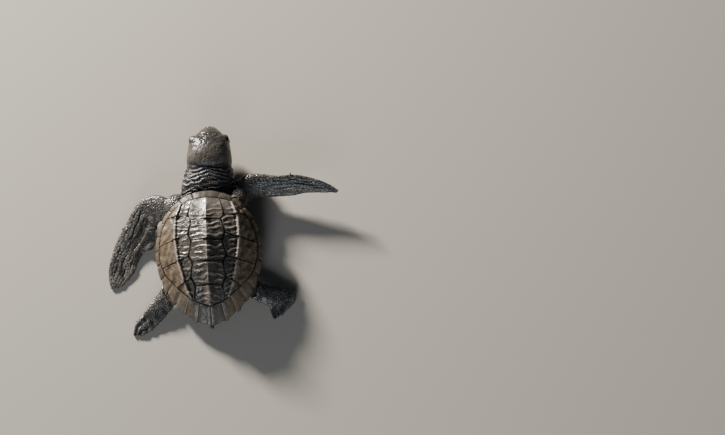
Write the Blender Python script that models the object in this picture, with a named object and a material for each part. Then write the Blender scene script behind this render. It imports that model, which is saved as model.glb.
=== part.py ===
# Loggerhead turtle hatchling, a still life-size model, resting on a floor at z = 0.
# It faces -Y, its left side is +X, and +Z is up. Lengths below are millimetres.
import bpy
import bmesh
import math
import numpy as np

for old in list(bpy.data.objects):
    bpy.data.objects.remove(old, do_unlink=True)

NAME = "loggerhead_hatchling"
MM = 0.001

# ---- shell ----
SHELL_LENGTH = 45.0        # straight length of the carapace
SHELL_HALF_WIDTH = 18.2
DOME_TOP = 17.3            # height of the dome without its keels
PEAK_Y = -3.6              # the dome's highest point, from the shell's middle
FRONT_RIM_Z = 12.3
REAR_RIM_Z = 4.4
PLATE = 0.9                # thickness of a scute
RIM = 1.2                  # thickness of the shell's edge
GAP = 0.3                  # between neighbouring pieces
NUCHAL_HALF = 0.075        # share of the half outline that the nuchal takes
MARGINALS = 12
KEEL = 1.3                 # median keel, at the rear of each scute
SIDE_KEEL = 1.15
KEEL_WIDTH = 1.3
ROOF_ALONG = 1.75          # how round the dome is along the back, and across it,
ROOF_ACROSS = 1.35         # where its sides fall away from the keel like a roof

# ---- plastron and trunk ----
PLASTRON_SCALE = 0.80
PLASTRON_THICK = 1.2
PLASTRON_FLAT = 0.74       # share of the plastron that lies on the floor
PLASTRON_RISE = 2.0
CORE_SCALE = 0.89

# ---- head ----
SNOUT_Y = -46.8
MOUTH_Z = 7.0
BEAK_BACK_Y = -43.6
HEAD_SHIFT = -1.3          # the head is held a little to the turtle's right
HEAD_TURN = 0.04           # and turned that way, as a slope
EYE_RADIUS = 1.75
EYE_AT = (5.2, -41.0, 9.8)

# head and neck sections: y, half width, lowest z, highest z, squareness
HEAD_SECTIONS = [
    (-46.8, 0.9, 7.0, 8.8, 2.0), (-46.3, 2.1, 5.9, 9.9, 2.1),
    (-45.3, 3.3, 5.2, 11.0, 2.1), (-43.8, 4.5, 4.7, 12.2, 2.2),
    (-42.0, 6.0, 4.2, 13.4, 2.3), (-40.0, 7.0, 3.7, 14.4, 2.4),
    (-37.4, 7.6, 3.1, 15.0, 2.4), (-34.8, 7.9, 2.7, 14.9, 2.4),
    (-32.4, 7.9, 2.6, 14.1, 2.3), (-31.0, 8.1, 2.6, 13.1, 2.2),
]
NECK_SECTIONS = [
    (-31.0, 8.1, 2.6, 13.1, 2.2), (-29.0, 8.9, 2.5, 12.8, 2.2),
    (-26.0, 9.2, 2.4, 12.3, 2.3), (-23.2, 9.2, 2.4, 11.4, 2.4),
    (-20.5, 8.7, 2.5, 10.9, 2.4), (-17.5, 8.0, 2.8, 10.6, 2.4),
]

# flippers, root to tip: leading edge x y z, trailing edge x y z, thickness
FRONT_LEFT = [
    (9.5, -19.0, 6.6, 12.5, -10.5, 5.2, 5.6), (12.6, -21.6, 6.7, 14.6, -14.0, 4.6, 5.2),
    (16.6, -23.9, 6.3, 16.6, -14.6, 3.9, 4.6), (21.4, -23.5, 5.4, 17.8, -13.0, 3.0, 3.9),
    (25.4, -20.3, 4.3, 18.4, -11.0, 2.3, 3.2), (28.2, -15.4, 3.1, 19.2, -8.0, 1.7, 2.7),
    (32.2, -8.8, 1.9, 22.8, -4.2, 1.0, 2.2), (34.8, -1.4, 1.1, 25.4, 0.2, 0.7, 1.8),
    (35.3, 4.0, 0.6, 27.6, 4.4, 0.5, 1.4), (34.4, 7.6, 0.45, 31.6, 7.4, 0.4, 1.1),
]
FRONT_RIGHT = [
    (-8.0, -22.0, 6.8, -11.0, -11.5, 5.4, 5.8), (-10.6, -27.4, 7.4, -12.8, -17.0, 5.0, 5.6),
    (-14.6, -29.2, 8.6, -15.6, -20.9, 4.2, 4.9), (-19.0, -28.6, 9.3, -19.2, -22.0, 3.4, 3.9),
    (-24.6, -27.5, 9.7, -23.6, -22.0, 3.2, 3.2), (-30.6, -27.6, 9.9, -28.6, -21.8, 3.8, 2.7),
    (-36.4, -26.2, 9.6, -34.6, -21.9, 4.8, 2.2), (-42.0, -24.1, 8.8, -40.4, -21.5, 6.0, 1.6),
    (-45.6, -21.6, 7.9, -44.6, -20.7, 7.0, 0.9),
]
HIND_LEFT = [
    (14.0, 5.5, 3.6, 8.5, 10.0, 3.4, 3.8), (19.2, 11.6, 2.8, 12.4, 15.0, 2.6, 3.3),
    (23.3, 16.6, 1.6, 16.4, 19.2, 1.4, 2.5), (26.6, 20.9, 0.75, 19.8, 22.5, 0.65, 1.7),
    (27.2, 24.0, 0.45, 24.2, 24.6, 0.4, 1.1),
]
HIND_RIGHT = [
    (-12.0, 4.5, 3.9, -9.8, 11.4, 3.6, 3.8), (-19.0, 9.4, 3.3, -16.2, 15.2, 2.8, 3.3),
    (-28.2, 11.6, 2.0, -19.8, 16.6, 1.5, 2.6), (-28.8, 15.6, 0.85, -19.8, 18.6, 0.7, 1.8),
    (-24.2, 19.4, 0.45, -21.0, 21.2, 0.4, 1.1),
]
ARM_CUT = ((25.0, -17.0, 3.6), (0.80, 0.60, -0.10))       # left wrist: point, direction out
ARM_CUT_RIGHT = ((-19.8, -25.0, 6.2), (-1.0, 0.02, 0.0))
CLAW_LENGTH = 1.1
CLAW_RADIUS = 0.38

# ---- colours ----
HORN = (0.055, 0.047, 0.040)
EDGE_HORN = (0.075, 0.062, 0.050)
SKIN = (0.022, 0.021, 0.022)
PALE = (0.180, 0.150, 0.120)
EYE = (0.008, 0.007, 0.007)

part = bpy.data.collections.new(NAME)
bpy.context.scene.collection.children.link(part)
tools = bpy.data.collections.new("cutters")
bpy.context.scene.collection.children.link(tools)


# ================= outline, dome and keels =================
def half_width(s):
    """Half width of the shell at a share s of its length from the front."""
    s = np.clip(s, 0.0, 1.0)
    return SHELL_HALF_WIDTH * (s / 0.456) ** 0.47 * ((1 - s) / 0.544) ** 0.56


def outline_table():
    """Points of the half outline, at even steps of its length."""
    u = np.linspace(0.0, 1.0, 1201)
    s = (1 - np.cos(math.pi * u)) / 2
    x = half_width(s)
    y = (s - 0.5) * SHELL_LENGTH
    run = np.concatenate([[0.0], np.cumsum(np.hypot(np.diff(x), np.diff(y)))])
    even = np.linspace(0.0, run[-1], 601)
    return np.interp(even, run, x), np.interp(even, run, y)


OUT_X, OUT_Y = outline_table()
OUT_U = np.linspace(0.0, 1.0, len(OUT_X))


def rim(u):
    """Plan position of the shell's edge, u from 0 (nuchal) to 1 (tail)."""
    x = np.interp(np.abs(u), OUT_U, OUT_X) * np.sign(u + 1e-12)
    return x, np.interp(np.abs(u), OUT_U, OUT_Y)


def rim_height(y):
    back = np.clip(0.5 + y / SHELL_LENGTH, 0.0, 1.0)
    return REAR_RIM_Z + (FRONT_RIM_Z - REAR_RIM_Z) * (1 - back) ** 1.8


def band(u):
    """Width in plan of the marginal ring."""
    at = [0.0, 0.08, 0.18, 0.30, 0.52, 0.62, 0.72, 0.84, 1.0]
    wide = [2.7, 2.5, 1.9, 1.3, 1.25, 2.2, 4.0, 5.4, 5.8]
    return np.interp(np.abs(u), at, wide)


def inner(u):
    """Plan position of the line between the marginals and the inner scutes."""
    x, y = rim(u)
    r = np.hypot(x, y - PEAK_Y)
    k = 1 - band(u) / r
    return x * k, PEAK_Y + (y - PEAK_Y) * k


def gauge(x, y):
    """0 at the dome's peak, 1 at the shell's edge; also the edge's height there."""
    ang = np.arctan2(np.abs(x), -(y - PEAK_Y))
    edge_ang = np.arctan2(OUT_X, -(OUT_Y - PEAK_Y))
    edge_r = np.hypot(OUT_X, OUT_Y - PEAK_Y)
    r = np.interp(ang, edge_ang, edge_r)
    z = rim_height(np.interp(ang, edge_ang, OUT_Y))
    return np.hypot(x, y - PEAK_Y) / r, z, ang / math.pi


def dome(x, y):
    rho, edge_z, back = gauge(x, y)
    rho = np.clip(rho, 0.0, 0.9995)
    power = 0.80 + 0.22 * np.clip((back - 0.55) / 0.35, 0.0, 1.0)
    roof = ROOF_ALONG + (ROOF_ACROSS - ROOF_ALONG) * np.sin(math.pi * back) ** 2
    return edge_z + (DOME_TOP - edge_z) * (1 - rho ** roof) ** power


def normal(x, y):
    e = 0.05
    gx = (dome(x + e, y) - dome(x - e, y)) / (2 * e)
    gy = (dome(x, y + e) - dome(x, y - e)) / (2 * e)
    n = np.stack([-gx, -gy, np.ones_like(gx)], -1)
    return n / np.linalg.norm(n, axis=-1, keepdims=True)


def side_keel_x(y):
    """How far out the side keels run."""
    s = 0.5 + y / SHELL_LENGTH
    return np.interp(s, [0.1, 0.22, 0.38, 0.55, 0.75, 0.9], [8.6, 10.6, 10.9, 10.0, 7.6, 4.6])


def keels(x, y, share, side):
    """Keel height at a share of a scute's length, 0 at its front and 1 at its rear."""
    rise = 0.40 + 0.60 * share ** 1.4
    if side:
        off = np.abs(x) - side_keel_x(y)
        return SIDE_KEEL * rise * np.exp(-np.abs(off / KEEL_WIDTH) ** 1.4)
    return KEEL * rise * np.exp(-np.abs(x / KEEL_WIDTH) ** 1.4)


# ================= mesh helpers =================
def paint(obj, colour, rough):
    mat = bpy.data.materials.new(obj.name + "_finish")
    mat.use_nodes = True
    node = mat.node_tree.nodes["Principled BSDF"]
    node.inputs["Base Color"].default_value = (*colour, 1.0)
    node.inputs["Roughness"].default_value = rough
    obj.data.materials.clear()
    obj.data.materials.append(mat)


def solid(name, verts, faces, home=None):
    """A closed mesh from points in millimetres."""
    mesh = bpy.data.meshes.new(name)
    mesh.from_pydata([tuple(np.array(v) * MM) for v in verts], [], faces)
    obj = bpy.data.objects.new(name, mesh)
    (home or part).objects.link(obj)
    bm = bmesh.new()
    bm.from_mesh(mesh)
    bmesh.ops.remove_doubles(bm, verts=bm.verts[:], dist=0.00001)
    bmesh.ops.recalc_face_normals(bm, faces=bm.faces[:])
    bm.to_mesh(mesh)
    bm.free()
    return obj


def finish(obj, colour, rough, angle=40):
    bm = bmesh.new()
    bm.from_mesh(obj.data)
    bmesh.ops.dissolve_degenerate(bm, edges=bm.edges[:], dist=0.00001)
    bmesh.ops.triangulate(bm, faces=bm.faces[:])
    bmesh.ops.recalc_face_normals(bm, faces=bm.faces[:])
    bm.to_mesh(obj.data)
    bm.free()
    for face in obj.data.polygons:
        face.use_smooth = True
    obj.data.set_sharp_from_angle(angle=math.radians(angle))
    paint(obj, colour, rough)
    return obj


def slab(name, top, low, home=None):
    """Closes two matching grids of points with walls round their edge."""
    na, nb = top.shape[:2]
    verts = [p for p in top.reshape(-1, 3)] + [p for p in low.reshape(-1, 3)]
    half = na * nb
    faces = []
    for i in range(na - 1):
        for j in range(nb - 1):
            a, b, c, d = i * nb + j, i * nb + j + 1, (i + 1) * nb + j + 1, (i + 1) * nb + j
            faces += [(a, b, c, d), (half + d, half + c, half + b, half + a)]
    ring = [j for j in range(nb)] + [i * nb + nb - 1 for i in range(1, na)]
    ring += [(na - 1) * nb + j for j in range(nb - 2, -1, -1)]
    ring += [i * nb for i in range(na - 2, 0, -1)]
    for k, a in enumerate(ring):
        b = ring[(k + 1) % len(ring)]
        faces.append((b, a, half + a, half + b))
    return solid(name, verts, faces, home)


def loft(name, rings, home=None):
    """Skins rings of equal count and closes both ends."""
    n = len(rings[0])
    verts = [p for ring in rings for p in ring]
    faces = []
    for k in range(len(rings) - 1):
        for i in range(n):
            j = (i + 1) % n
            faces.append((k * n + i, k * n + j, (k + 1) * n + j, (k + 1) * n + i))
    faces.append(tuple(range(n - 1, -1, -1)))
    faces.append(tuple((len(rings) - 1) * n + i for i in range(n)))
    return solid(name, verts, faces, home)


def oval(centre, side, up, count, square=2.0):
    """A ring of points round a centre, on two half axes."""
    pts = []
    for i in range(count):
        t = 2 * math.pi * i / count
        c, s = math.cos(t), math.sin(t)
        c = math.copysign(abs(c) ** (2 / square), c)
        s = math.copysign(abs(s) ** (2 / square), s)
        pts.append(np.array(centre) + np.array(side) * c + np.array(up) * s)
    return pts


def smooth_path(rows, per):
    """Catmull-Rom points through rows of numbers."""
    rows = np.array(rows, float)
    ext = np.vstack([2 * rows[0] - rows[1], rows, 2 * rows[-1] - rows[-2]])
    out = []
    for k in range(1, len(ext) - 2):
        p0, p1, p2, p3 = ext[k - 1:k + 3]
        for i in range(per):
            t = i / per
            out.append(0.5 * (2 * p1 + (p2 - p0) * t + (2 * p0 - 5 * p1 + 4 * p2 - p3) * t ** 2
                              + (3 * p1 - p0 - 3 * p2 + p3) * t ** 3))
    out.append(rows[-1])
    return np.array(out)


def keep_side(obj, point, direction, name=None):
    """Keeps what lies beyond a plane, and closes the cut."""
    bm = bmesh.new()
    bm.from_mesh(obj.data)
    geom = bm.verts[:] + bm.edges[:] + bm.faces[:]
    cut = bmesh.ops.bisect_plane(bm, geom=geom, dist=1e-7, plane_co=np.array(point) * MM,
                                 plane_no=direction, clear_inner=True)
    edges = [e for e in cut["geom_cut"] if isinstance(e, bmesh.types.BMEdge)]
    bmesh.ops.holes_fill(bm, edges=[e for e in edges if e.is_boundary], sides=0)
    bmesh.ops.recalc_face_normals(bm, faces=bm.faces[:])
    bm.to_mesh(obj.data)
    bm.free()
    return obj


def copy_of(obj, name):
    new = obj.copy()
    new.data = obj.data.copy()
    new.name = name
    new.data.name = name
    part.objects.link(new)
    return new


def carve(obj, cutter):
    """Takes one solid out of another."""
    cutter.hide_render = True
    cutter.display_type = "WIRE"
    mod = obj.modifiers.new("carve", "BOOLEAN")
    mod.operation = "DIFFERENCE"
    mod.solver = "EXACT"
    mod.object = cutter
    bpy.context.view_layer.objects.active = obj
    bpy.ops.object.modifier_apply(modifier=mod.name)


def largest(obj):
    """Drops the loose crumbs that a carve leaves."""
    bm = bmesh.new()
    bm.from_mesh(obj.data)
    left = set(bm.verts)
    groups = []
    while left:
        seed = left.pop()
        group, todo = {seed}, [seed]
        while todo:
            v = todo.pop()
            for e in v.link_edges:
                o = e.other_vert(v)
                if o not in group:
                    group.add(o)
                    todo.append(o)
        left -= group
        groups.append(group)
    groups.sort(key=len, reverse=True)
    spare = [v for g in groups[1:] for v in g]
    bmesh.ops.delete(bm, geom=spare, context="VERTS")
    bmesh.ops.remove_doubles(bm, verts=bm.verts[:], dist=0.00002)
    bm.to_mesh(obj.data)
    bm.free()


# ================= scutes =================
def line(*corners):
    """An even walk along straight pieces, as a function of 0..1."""
    pts = np.array(corners, float)
    run = np.concatenate([[0.0], np.cumsum(np.linalg.norm(np.diff(pts, axis=0), axis=1))])
    run = run / run[-1]
    return lambda t: np.stack([np.interp(t, run, pts[:, 0]), np.interp(t, run, pts[:, 1])], -1)


def arc(u0, u1):
    """Part of the inner line, as a function of 0..1."""
    return lambda t: np.stack(inner(u0 + (u1 - u0) * np.asarray(t)), -1)


def patch(front, rear, first, second, na, nb):
    """Plan points between four edges, drawn in by half a gap."""
    la = np.linalg.norm(first(0.0) - first(1.0)) + np.linalg.norm(second(0.0) - second(1.0))
    lb = np.linalg.norm(front(0.0) - front(1.0)) + np.linalg.norm(rear(0.0) - rear(1.0))
    ea, eb = GAP / la, GAP / lb
    a = np.linspace(ea, 1 - ea, na)[:, None, None]
    b = np.linspace(eb, 1 - eb, nb)[None, :, None]
    av, bv = a[:, 0, 0], b[0, :, 0]
    ruled_a = (1 - a) * front(bv)[None] + a * rear(bv)[None]
    ruled_b = (1 - b) * first(av)[:, None] + b * second(av)[:, None]
    c00, c01, c10, c11 = front(0.0), front(1.0), rear(0.0), rear(1.0)
    corner = (1 - a) * ((1 - b) * c00 + b * c01) + a * ((1 - b) * c10 + b * c11)
    return ruled_a + ruled_b - corner, a[:, :, 0] + 0 * b[:, :, 0]


def onto_keel(plan, share):
    """Picks columns of a finely drawn side scute so that one runs along its keel."""
    fine = np.linspace(0.0, 1.0, plan.shape[1])
    picked = []
    for row in plan:
        keel = float(np.interp(0.0, np.abs(row[:, 0]) - side_keel_x(row[:, 1]), fine))
        keel = min(max(keel, 0.25), 0.75)
        t = np.concatenate([keel * np.array(BEFORE_KEEL), keel + (1 - keel) * np.array(BEYOND_KEEL)])
        picked.append(np.stack([np.interp(t, fine, row[:, 0]), np.interp(t, fine, row[:, 1])], -1))
    return np.array(picked), np.repeat(share[:, :1], len(BEFORE_KEEL) + len(BEYOND_KEEL), axis=1)


def scute(name, plan, share, side, colour=HORN):
    """A plate of even thickness that follows the dome."""
    x, y = plan[..., 0], plan[..., 1]
    base = np.stack([x, y, dome(x, y)], -1)
    n = normal(x, y)
    top = base + np.array([0, 0, 1.0]) * keels(x, y, share, side)[..., None]
    obj = slab(name, top, base - n * PLATE)
    return finish(obj, colour, 0.5)


# seams of the back, by plan position: the middle row's joints and its outer corners
SEAM_Y = [-11.6, -4.3, 2.9, 10.4]
NARROW = [5.0, 5.1, 5.0, 4.3]
CORNER = [(6.3, -13.2), (6.5, -6.5), (6.6, 1.1), (6.1, 8.0)]
OUTER_Y = [-13.7, -4.2, 3.2, 10.3]
FRONT_U = NUCHAL_HALF + 0.012
BEFORE_KEEL = [0.0, 0.45, 0.80]       # columns of a side scute, as shares of the way to its keel
BEYOND_KEEL = [0.0, 0.17, 0.45, 0.75, 1.0]
FIFTH_U = 0.895


def inner_u(y):
    """Where the inner line passes a given y."""
    u = np.linspace(0.1, 0.98, 800)
    return float(np.interp(y, inner(u)[1], u))


def mirror(pts):
    return [(-p[0], p[1]) for p in pts]


def middle_row():
    """The five vertebral scutes."""
    first = tuple(np.array(inner(FRONT_U)))
    last = tuple(np.array(inner(FIFTH_U)))
    sides = [[first, CORNER[0], (NARROW[0], SEAM_Y[0])]]
    for k in range(3):
        sides.append([(NARROW[k], SEAM_Y[k]), CORNER[k + 1], (NARROW[k + 1], SEAM_Y[k + 1])])
    sides.append([(NARROW[3], SEAM_Y[3]), (5.2, 13.0), last])
    for k, side in enumerate(sides):
        left, right = line(*side), line(*mirror(side))
        front = line(mirror(side)[0], side[0])
        rear = line(mirror(side)[-1], side[-1])
        if k == 0:
            front = arc(-FRONT_U, FRONT_U)
        if k == 4:
            rear = lambda t: np.stack(back_arc(t), -1)
        plan, share = patch(front, rear, right, left, 5, 11)
        scute("scute_vertebral_%d" % (k + 1), plan, share, False)
    return sides


def back_arc(t):
    """The inner line from the right side round the tail to the left."""
    t = np.asarray(t, float)
    u = FIFTH_U + (1 - FIFTH_U) * (1 - np.abs(2 * t - 1))
    x, y = inner(u)
    return np.where(t < 0.5, -x, x), y


def side_rows(sides):
    """The five pairs of costal scutes."""
    ends = [FRONT_U + 0.030] + [inner_u(y) for y in OUTER_Y] + [FIFTH_U - 0.045]
    inside = [[sides[0][0], sides[0][1]]]
    for k in range(4):
        inside.append([sides[k][1], sides[k][2], sides[k + 1][1]])
    inside[4].append(sides[4][2])
    for k, near in enumerate(inside):
        for word, sign in (("left", 1.0), ("right", -1.0)):
            far = arc(ends[k], ends[k + 1])
            front = line(near[0], tuple(far(0.0)))
            rear = line(near[-1], tuple(far(1.0)))
            plan, share = onto_keel(*patch(front, rear, line(*near), far, 5, 41))
            plan = plan * np.array([sign, 1.0])
            scute("scute_costal_%s_%d" % (word, k + 1), plan, share, True)


def edge_piece(name, u0, u1, cols, notch):
    """One piece of the ring round the shell's edge."""
    length = abs(u1 - u0) * 62.0
    e = 0.5 * GAP / length
    u = (u0 + (u1 - u0) * np.linspace(e, 1 - e, cols))[:, None]
    step = np.array([0.0, 0.22, 0.5, 0.78, 1 - 0.5 * GAP / 3.0])[None, :]
    ox, oy = rim(u)
    ix, iy = inner(u)
    grow = 1 + notch * (np.linspace(0, 1, cols)[:, None] - 0.6)
    ox, oy = ox * grow, PEAK_Y + (oy - PEAK_Y) * grow
    x, y = ox + (ix - ox) * step, oy + (iy - oy) * step
    z = dome(x, y)
    base = np.stack([x, y, z], -1)
    n = normal(x * 0.985, PEAK_Y + (y - PEAK_Y) * 0.985)
    inward = np.stack([-x, PEAK_Y - y, 0 * x], -1)
    inward = inward / np.linalg.norm(inward, axis=-1, keepdims=True)
    down = np.array([0.0, 0.0, -1.0]) * RIM + inward * 0.25
    blend = (step ** 0.8)[..., None]
    low = base + down * (1 - blend) - n * PLATE * blend
    obj = slab(name, base, low)
    return finish(obj, EDGE_HORN, 0.5)


def ring():
    edge_piece("scute_nuchal", -NUCHAL_HALF, NUCHAL_HALF, 9, 0.0)
    span = (1 - NUCHAL_HALF) / MARGINALS
    for k in range(MARGINALS):
        u0 = NUCHAL_HALF + k * span
        notch = 0.008 + 0.045 * max(0.0, (k - 5) / 6.0)
        if k == MARGINALS - 1:
            notch = 0.0
        for word, sign in (("left", 1.0), ("right", -1.0)):
            edge_piece("scute_marginal_%s_%d" % (word, k + 1), sign * u0, sign * (u0 + span), 4, notch)


# ================= trunk and plastron =================
def polar_plan(scale, rows, cols, power=1.0, near_edge=False):
    """Rings of plan points from the middle out to a scaled outline."""
    t = np.linspace(0, 2, cols, endpoint=False)
    u = np.where(t <= 1, t, t - 2)
    x, y = rim(u)
    r = (np.linspace(0, 1, rows)[1:] ** power)[:, None] * scale
    if near_edge:
        r = np.array([0.2, 0.4, 0.6, 0.75, 0.84, 0.9, 0.94, 0.97, 1.0, scale])[:, None]
    return x[None] * r, PEAK_Y + (y - PEAK_Y)[None] * r


def pebble(name, tops, lows, mid_top, mid_low, home=None):
    """A closed form from matching upper and lower rings that share a middle."""
    rows, cols = tops.shape[:2]
    verts = [p for p in tops.reshape(-1, 3)] + [p for p in lows.reshape(-1, 3)]
    verts += [mid_top, mid_low]
    half, faces = rows * cols, []
    for j in range(cols):
        k = (j + 1) % cols
        faces += [(2 * half, k, j), (2 * half + 1, half + j, half + k)]
        for i in range(rows - 1):
            a, b, c, d = i * cols + j, i * cols + k, (i + 1) * cols + k, (i + 1) * cols + j
            faces += [(a, b, c, d), (half + d, half + c, half + b, half + a)]
        last = (rows - 1) * cols
        faces.append((last + j, last + k, half + last + k, half + last + j))
    return solid(name, verts, faces, home)


def floor_rise(x, y, scale):
    """Underside height of the plastron: flat in the middle, then rising."""
    rho = gauge(x, y)[0] / scale
    return PLASTRON_RISE * np.clip((rho - PLASTRON_FLAT) / (1 - PLASTRON_FLAT), 0, 1.2) ** 2


def plastron(name, grow, home=None):
    scale = PLASTRON_SCALE + grow * 0.05
    x, y = polar_plan(scale, 6, 32)
    y = np.clip(y, -19.5 - grow, 19.0 + grow)
    low = floor_rise(x, y, PLASTRON_SCALE)
    edge = np.clip(gauge(x, y)[0] / PLASTRON_SCALE, 0, 1)
    thick = PLASTRON_THICK - 0.4 * edge ** 6
    tops = np.stack([x, y, low + thick + grow], -1)
    lows = np.stack([x, y, low - grow], -1)
    mid = np.array([0.0, PEAK_Y, 0.0])
    up = np.array([0, 0, PLASTRON_THICK + grow])
    return pebble(name, tops, lows, mid + up, mid - np.array([0, 0, grow]), home)


def cap(name, scale, high, deep, home=None):
    """A layer of the dome between two depths under its surface."""
    x, y = polar_plan(scale, 8, 48, 0.8, True)
    base = np.stack([x, y, dome(x, y)], -1)
    n = normal(x * 0.94, PEAK_Y + (y - PEAK_Y) * 0.94)
    top = np.array([0.0, PEAK_Y, DOME_TOP])
    up = np.array([0, 0, 1.0])
    edge = np.clip((gauge(x, y)[0] - 0.75) / 0.20, 0.0, 1.0)[..., None]
    low = base - n * deep * (1 - edge) - up * (RIM + GAP + 0.15) * edge
    return pebble(name, base + n * high, low, top + up * high, top - up * deep, home)


def trunk(name, grow, home=None):
    """The body between carapace and plastron, seen only in seams and openings."""
    x, y = polar_plan(CORE_SCALE, 7, 28, 0.8)
    n = normal(x, y)
    tops = np.stack([x, y, dome(x, y)], -1) - n * (PLATE + GAP - grow)
    lx, ly = polar_plan(PLASTRON_SCALE * 0.93, 7, 28, 0.8)
    out = np.stack([lx, ly - PEAK_Y, 0 * lx], -1)
    out = out / np.maximum(np.linalg.norm(out, axis=-1, keepdims=True), 1e-9)
    lz = floor_rise(lx, ly, PLASTRON_SCALE) + PLASTRON_THICK + GAP
    lows = np.stack([lx, ly, lz - grow], -1)
    tops = tops + out * grow
    lows = lows + out * grow
    top = np.array([0.0, PEAK_Y, DOME_TOP - PLATE - GAP + grow])
    low = np.array([0.0, PEAK_Y, PLASTRON_THICK + GAP - grow])
    return pebble(name, tops, lows, top, low, home)


# ================= head, neck, tail =================
def shift_at(y):
    """Sideways place of the head and neck."""
    t = np.clip((-20.0 - y) / 14.0, 0.0, 1.0)
    return HEAD_SHIFT * t * t * (3 - 2 * t) + HEAD_TURN * np.minimum(y + 34.0, 0.0)


def rings_from(sections, per, count, grow=0.0):
    rings = []
    for y, half, low, high, square in smooth_path(sections, per):
        centre = (shift_at(y), y, (low + high) / 2)
        deep = (high - low) / 2 + grow
        rings.append(oval(centre, (half + grow, 0, 0), (0, 0, deep), count, square))
    return rings


def head_and_beak():
    whole = loft("head", rings_from(HEAD_SECTIONS, 2, 20))
    snout = copy_of(whole, "upper_beak")
    keep_side(whole, (0, BEAK_BACK_Y + GAP / 2, 0), (0, 1, 0))
    keep_side(whole, (0, HEAD_SECTIONS[-1][0] - GAP / 2, 0), (0, -1, 0))
    keep_side(snout, (0, BEAK_BACK_Y - GAP / 2, 0), (0, -1, 0))
    lower = copy_of(snout, "lower_beak")
    keep_side(snout, (0, 0, MOUTH_Z + GAP / 2), (0, 0, 1))
    keep_side(lower, (0, 0, MOUTH_Z - GAP / 2), (0, 0, -1))
    finish(snout, HORN, 0.35)
    finish(lower, HORN, 0.35)
    for word, sign in (("left", 1.0), ("right", -1.0)):
        x, y, z = EYE_AT
        at = (sign * x + shift_at(y), y, z)
        socket = ball("socket_" + word, at, EYE_RADIUS + GAP, 14, 8, tools)
        carve(whole, socket)
        eye = ball("eye_" + word, at, EYE_RADIUS, 14, 8, part)
        finish(eye, EYE, 0.08)
    finish(whole, SKIN, 0.5)


def ball(name, at, radius, cols, rows, home):
    rings = []
    for k in range(1, rows):
        t = math.pi * k / rows
        centre = (at[0], at[1], at[2] + radius * math.cos(t))
        r = radius * math.sin(t)
        rings.append(oval(centre, (r, 0, 0), (0, r, 0), cols))
    pole_top = [np.array([at[0], at[1], at[2] + radius])] * cols
    pole_low = [np.array([at[0], at[1], at[2] - radius])] * cols
    return loft_points(name, [pole_top] + rings + [pole_low], home)


def loft_points(name, rings, home):
    """A loft whose first and last rings are single points."""
    n = len(rings[0])
    verts = [rings[0][0]] + [p for ring in rings[1:-1] for p in ring] + [rings[-1][0]]
    last = len(verts) - 1
    inner_rings = len(rings) - 2
    faces = []
    for i in range(n):
        j = (i + 1) % n
        faces.append((0, 1 + i, 1 + j))
        tail = 1 + (inner_rings - 1) * n
        faces.append((last, tail + j, tail + i))
        for k in range(inner_rings - 1):
            a = 1 + k * n
            faces.append((a + i, a + n + i, a + n + j, a + j))
    return solid(name, verts, faces, home)


def neck(cutters):
    obj = loft("neck", rings_from(NECK_SECTIONS, 2, 20))
    keep_side(obj, (0, NECK_SECTIONS[0][0] + GAP / 2, 0), (0, 1, 0))
    trim(obj, cutters)
    finish(obj, SKIN, 0.5)


def tail(cutters):
    rings = []
    for y, r, z in ((12.0, 2.4, 3.0), (16.0, 2.1, 2.8), (20.0, 1.4, 2.3), (23.0, 0.7, 1.9), (23.8, 0.35, 1.8)):
        rings.append(oval((0.0, y, z), (r, 0, 0), (0, 0, r * 0.8), 12))
    obj = loft("tail", rings)
    trim(obj, cutters)
    finish(obj, SKIN, 0.5)


# ================= flippers =================
def trim(obj, cutters):
    for cutter in cutters:
        carve(obj, cutter)
    largest(obj)


def flipper(name, rows, cutters, count=12, per=2):
    """A blade between a leading and a trailing edge, thicker in front."""
    path = smooth_path(rows, per)
    rings = []
    mids = (path[:, 0:3] + path[:, 3:6]) / 2
    for k, row in enumerate(path):
        lead, trail, thick = row[0:3], row[3:6], row[6]
        ahead = mids[min(k + 1, len(mids) - 1)] - mids[max(k - 1, 0)]
        chord = lead - trail
        up = np.cross(chord, ahead)
        up = up / np.linalg.norm(up)
        up = up if up[2] > 0 else -up
        ring = []
        for i in range(count):
            t = 2 * math.pi * i / count
            c, s = math.cos(t), math.sin(t)
            deep = 0.5 * thick * (0.86 + 0.14 * c)
            p = (lead + trail) / 2 + chord * 0.5 * c + up * deep * s
            p[2] = max(p[2], 0.0)
            ring.append(p)
        rings.append(ring)
    obj = loft(name, rings)
    trim(obj, cutters)
    return obj


def part_at(obj, cut, name):
    """Splits a limb at a plane and leaves the gap between its two pieces."""
    point, out = np.array(cut[0]), np.array(cut[1])
    out = out / np.linalg.norm(out)
    blade = copy_of(obj, name)
    keep_side(blade, point + out * GAP / 2, tuple(out))
    keep_side(obj, point - out * GAP / 2, tuple(-out))
    finish(obj, SKIN, 0.5)
    finish(blade, SKIN, 0.5)


def claw(name, rows, share):
    """A short horn cone that stands off the flipper's leading edge."""
    path = smooth_path(rows, 8)
    row = path[int(share * (len(path) - 1))]
    at = row[0:3]
    d = row[0:3] - row[3:6]
    d = d / np.linalg.norm(d) + np.array([0, 0, -0.1])
    d = d / np.linalg.norm(d)
    s = np.cross(d, (0, 0, 1.0))
    s = s / np.linalg.norm(s)
    u = np.cross(s, d)
    base = np.array(at) + d * GAP
    rings = []
    for f, r in ((0.0, 1.0), (0.45, 0.72), (0.8, 0.36), (1.0, 0.12)):
        c = base + d * CLAW_LENGTH * f
        rings.append(oval(c, s * CLAW_RADIUS * r, u * CLAW_RADIUS * r, 8))
    finish(loft(name, rings), PALE, 0.3)


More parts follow.
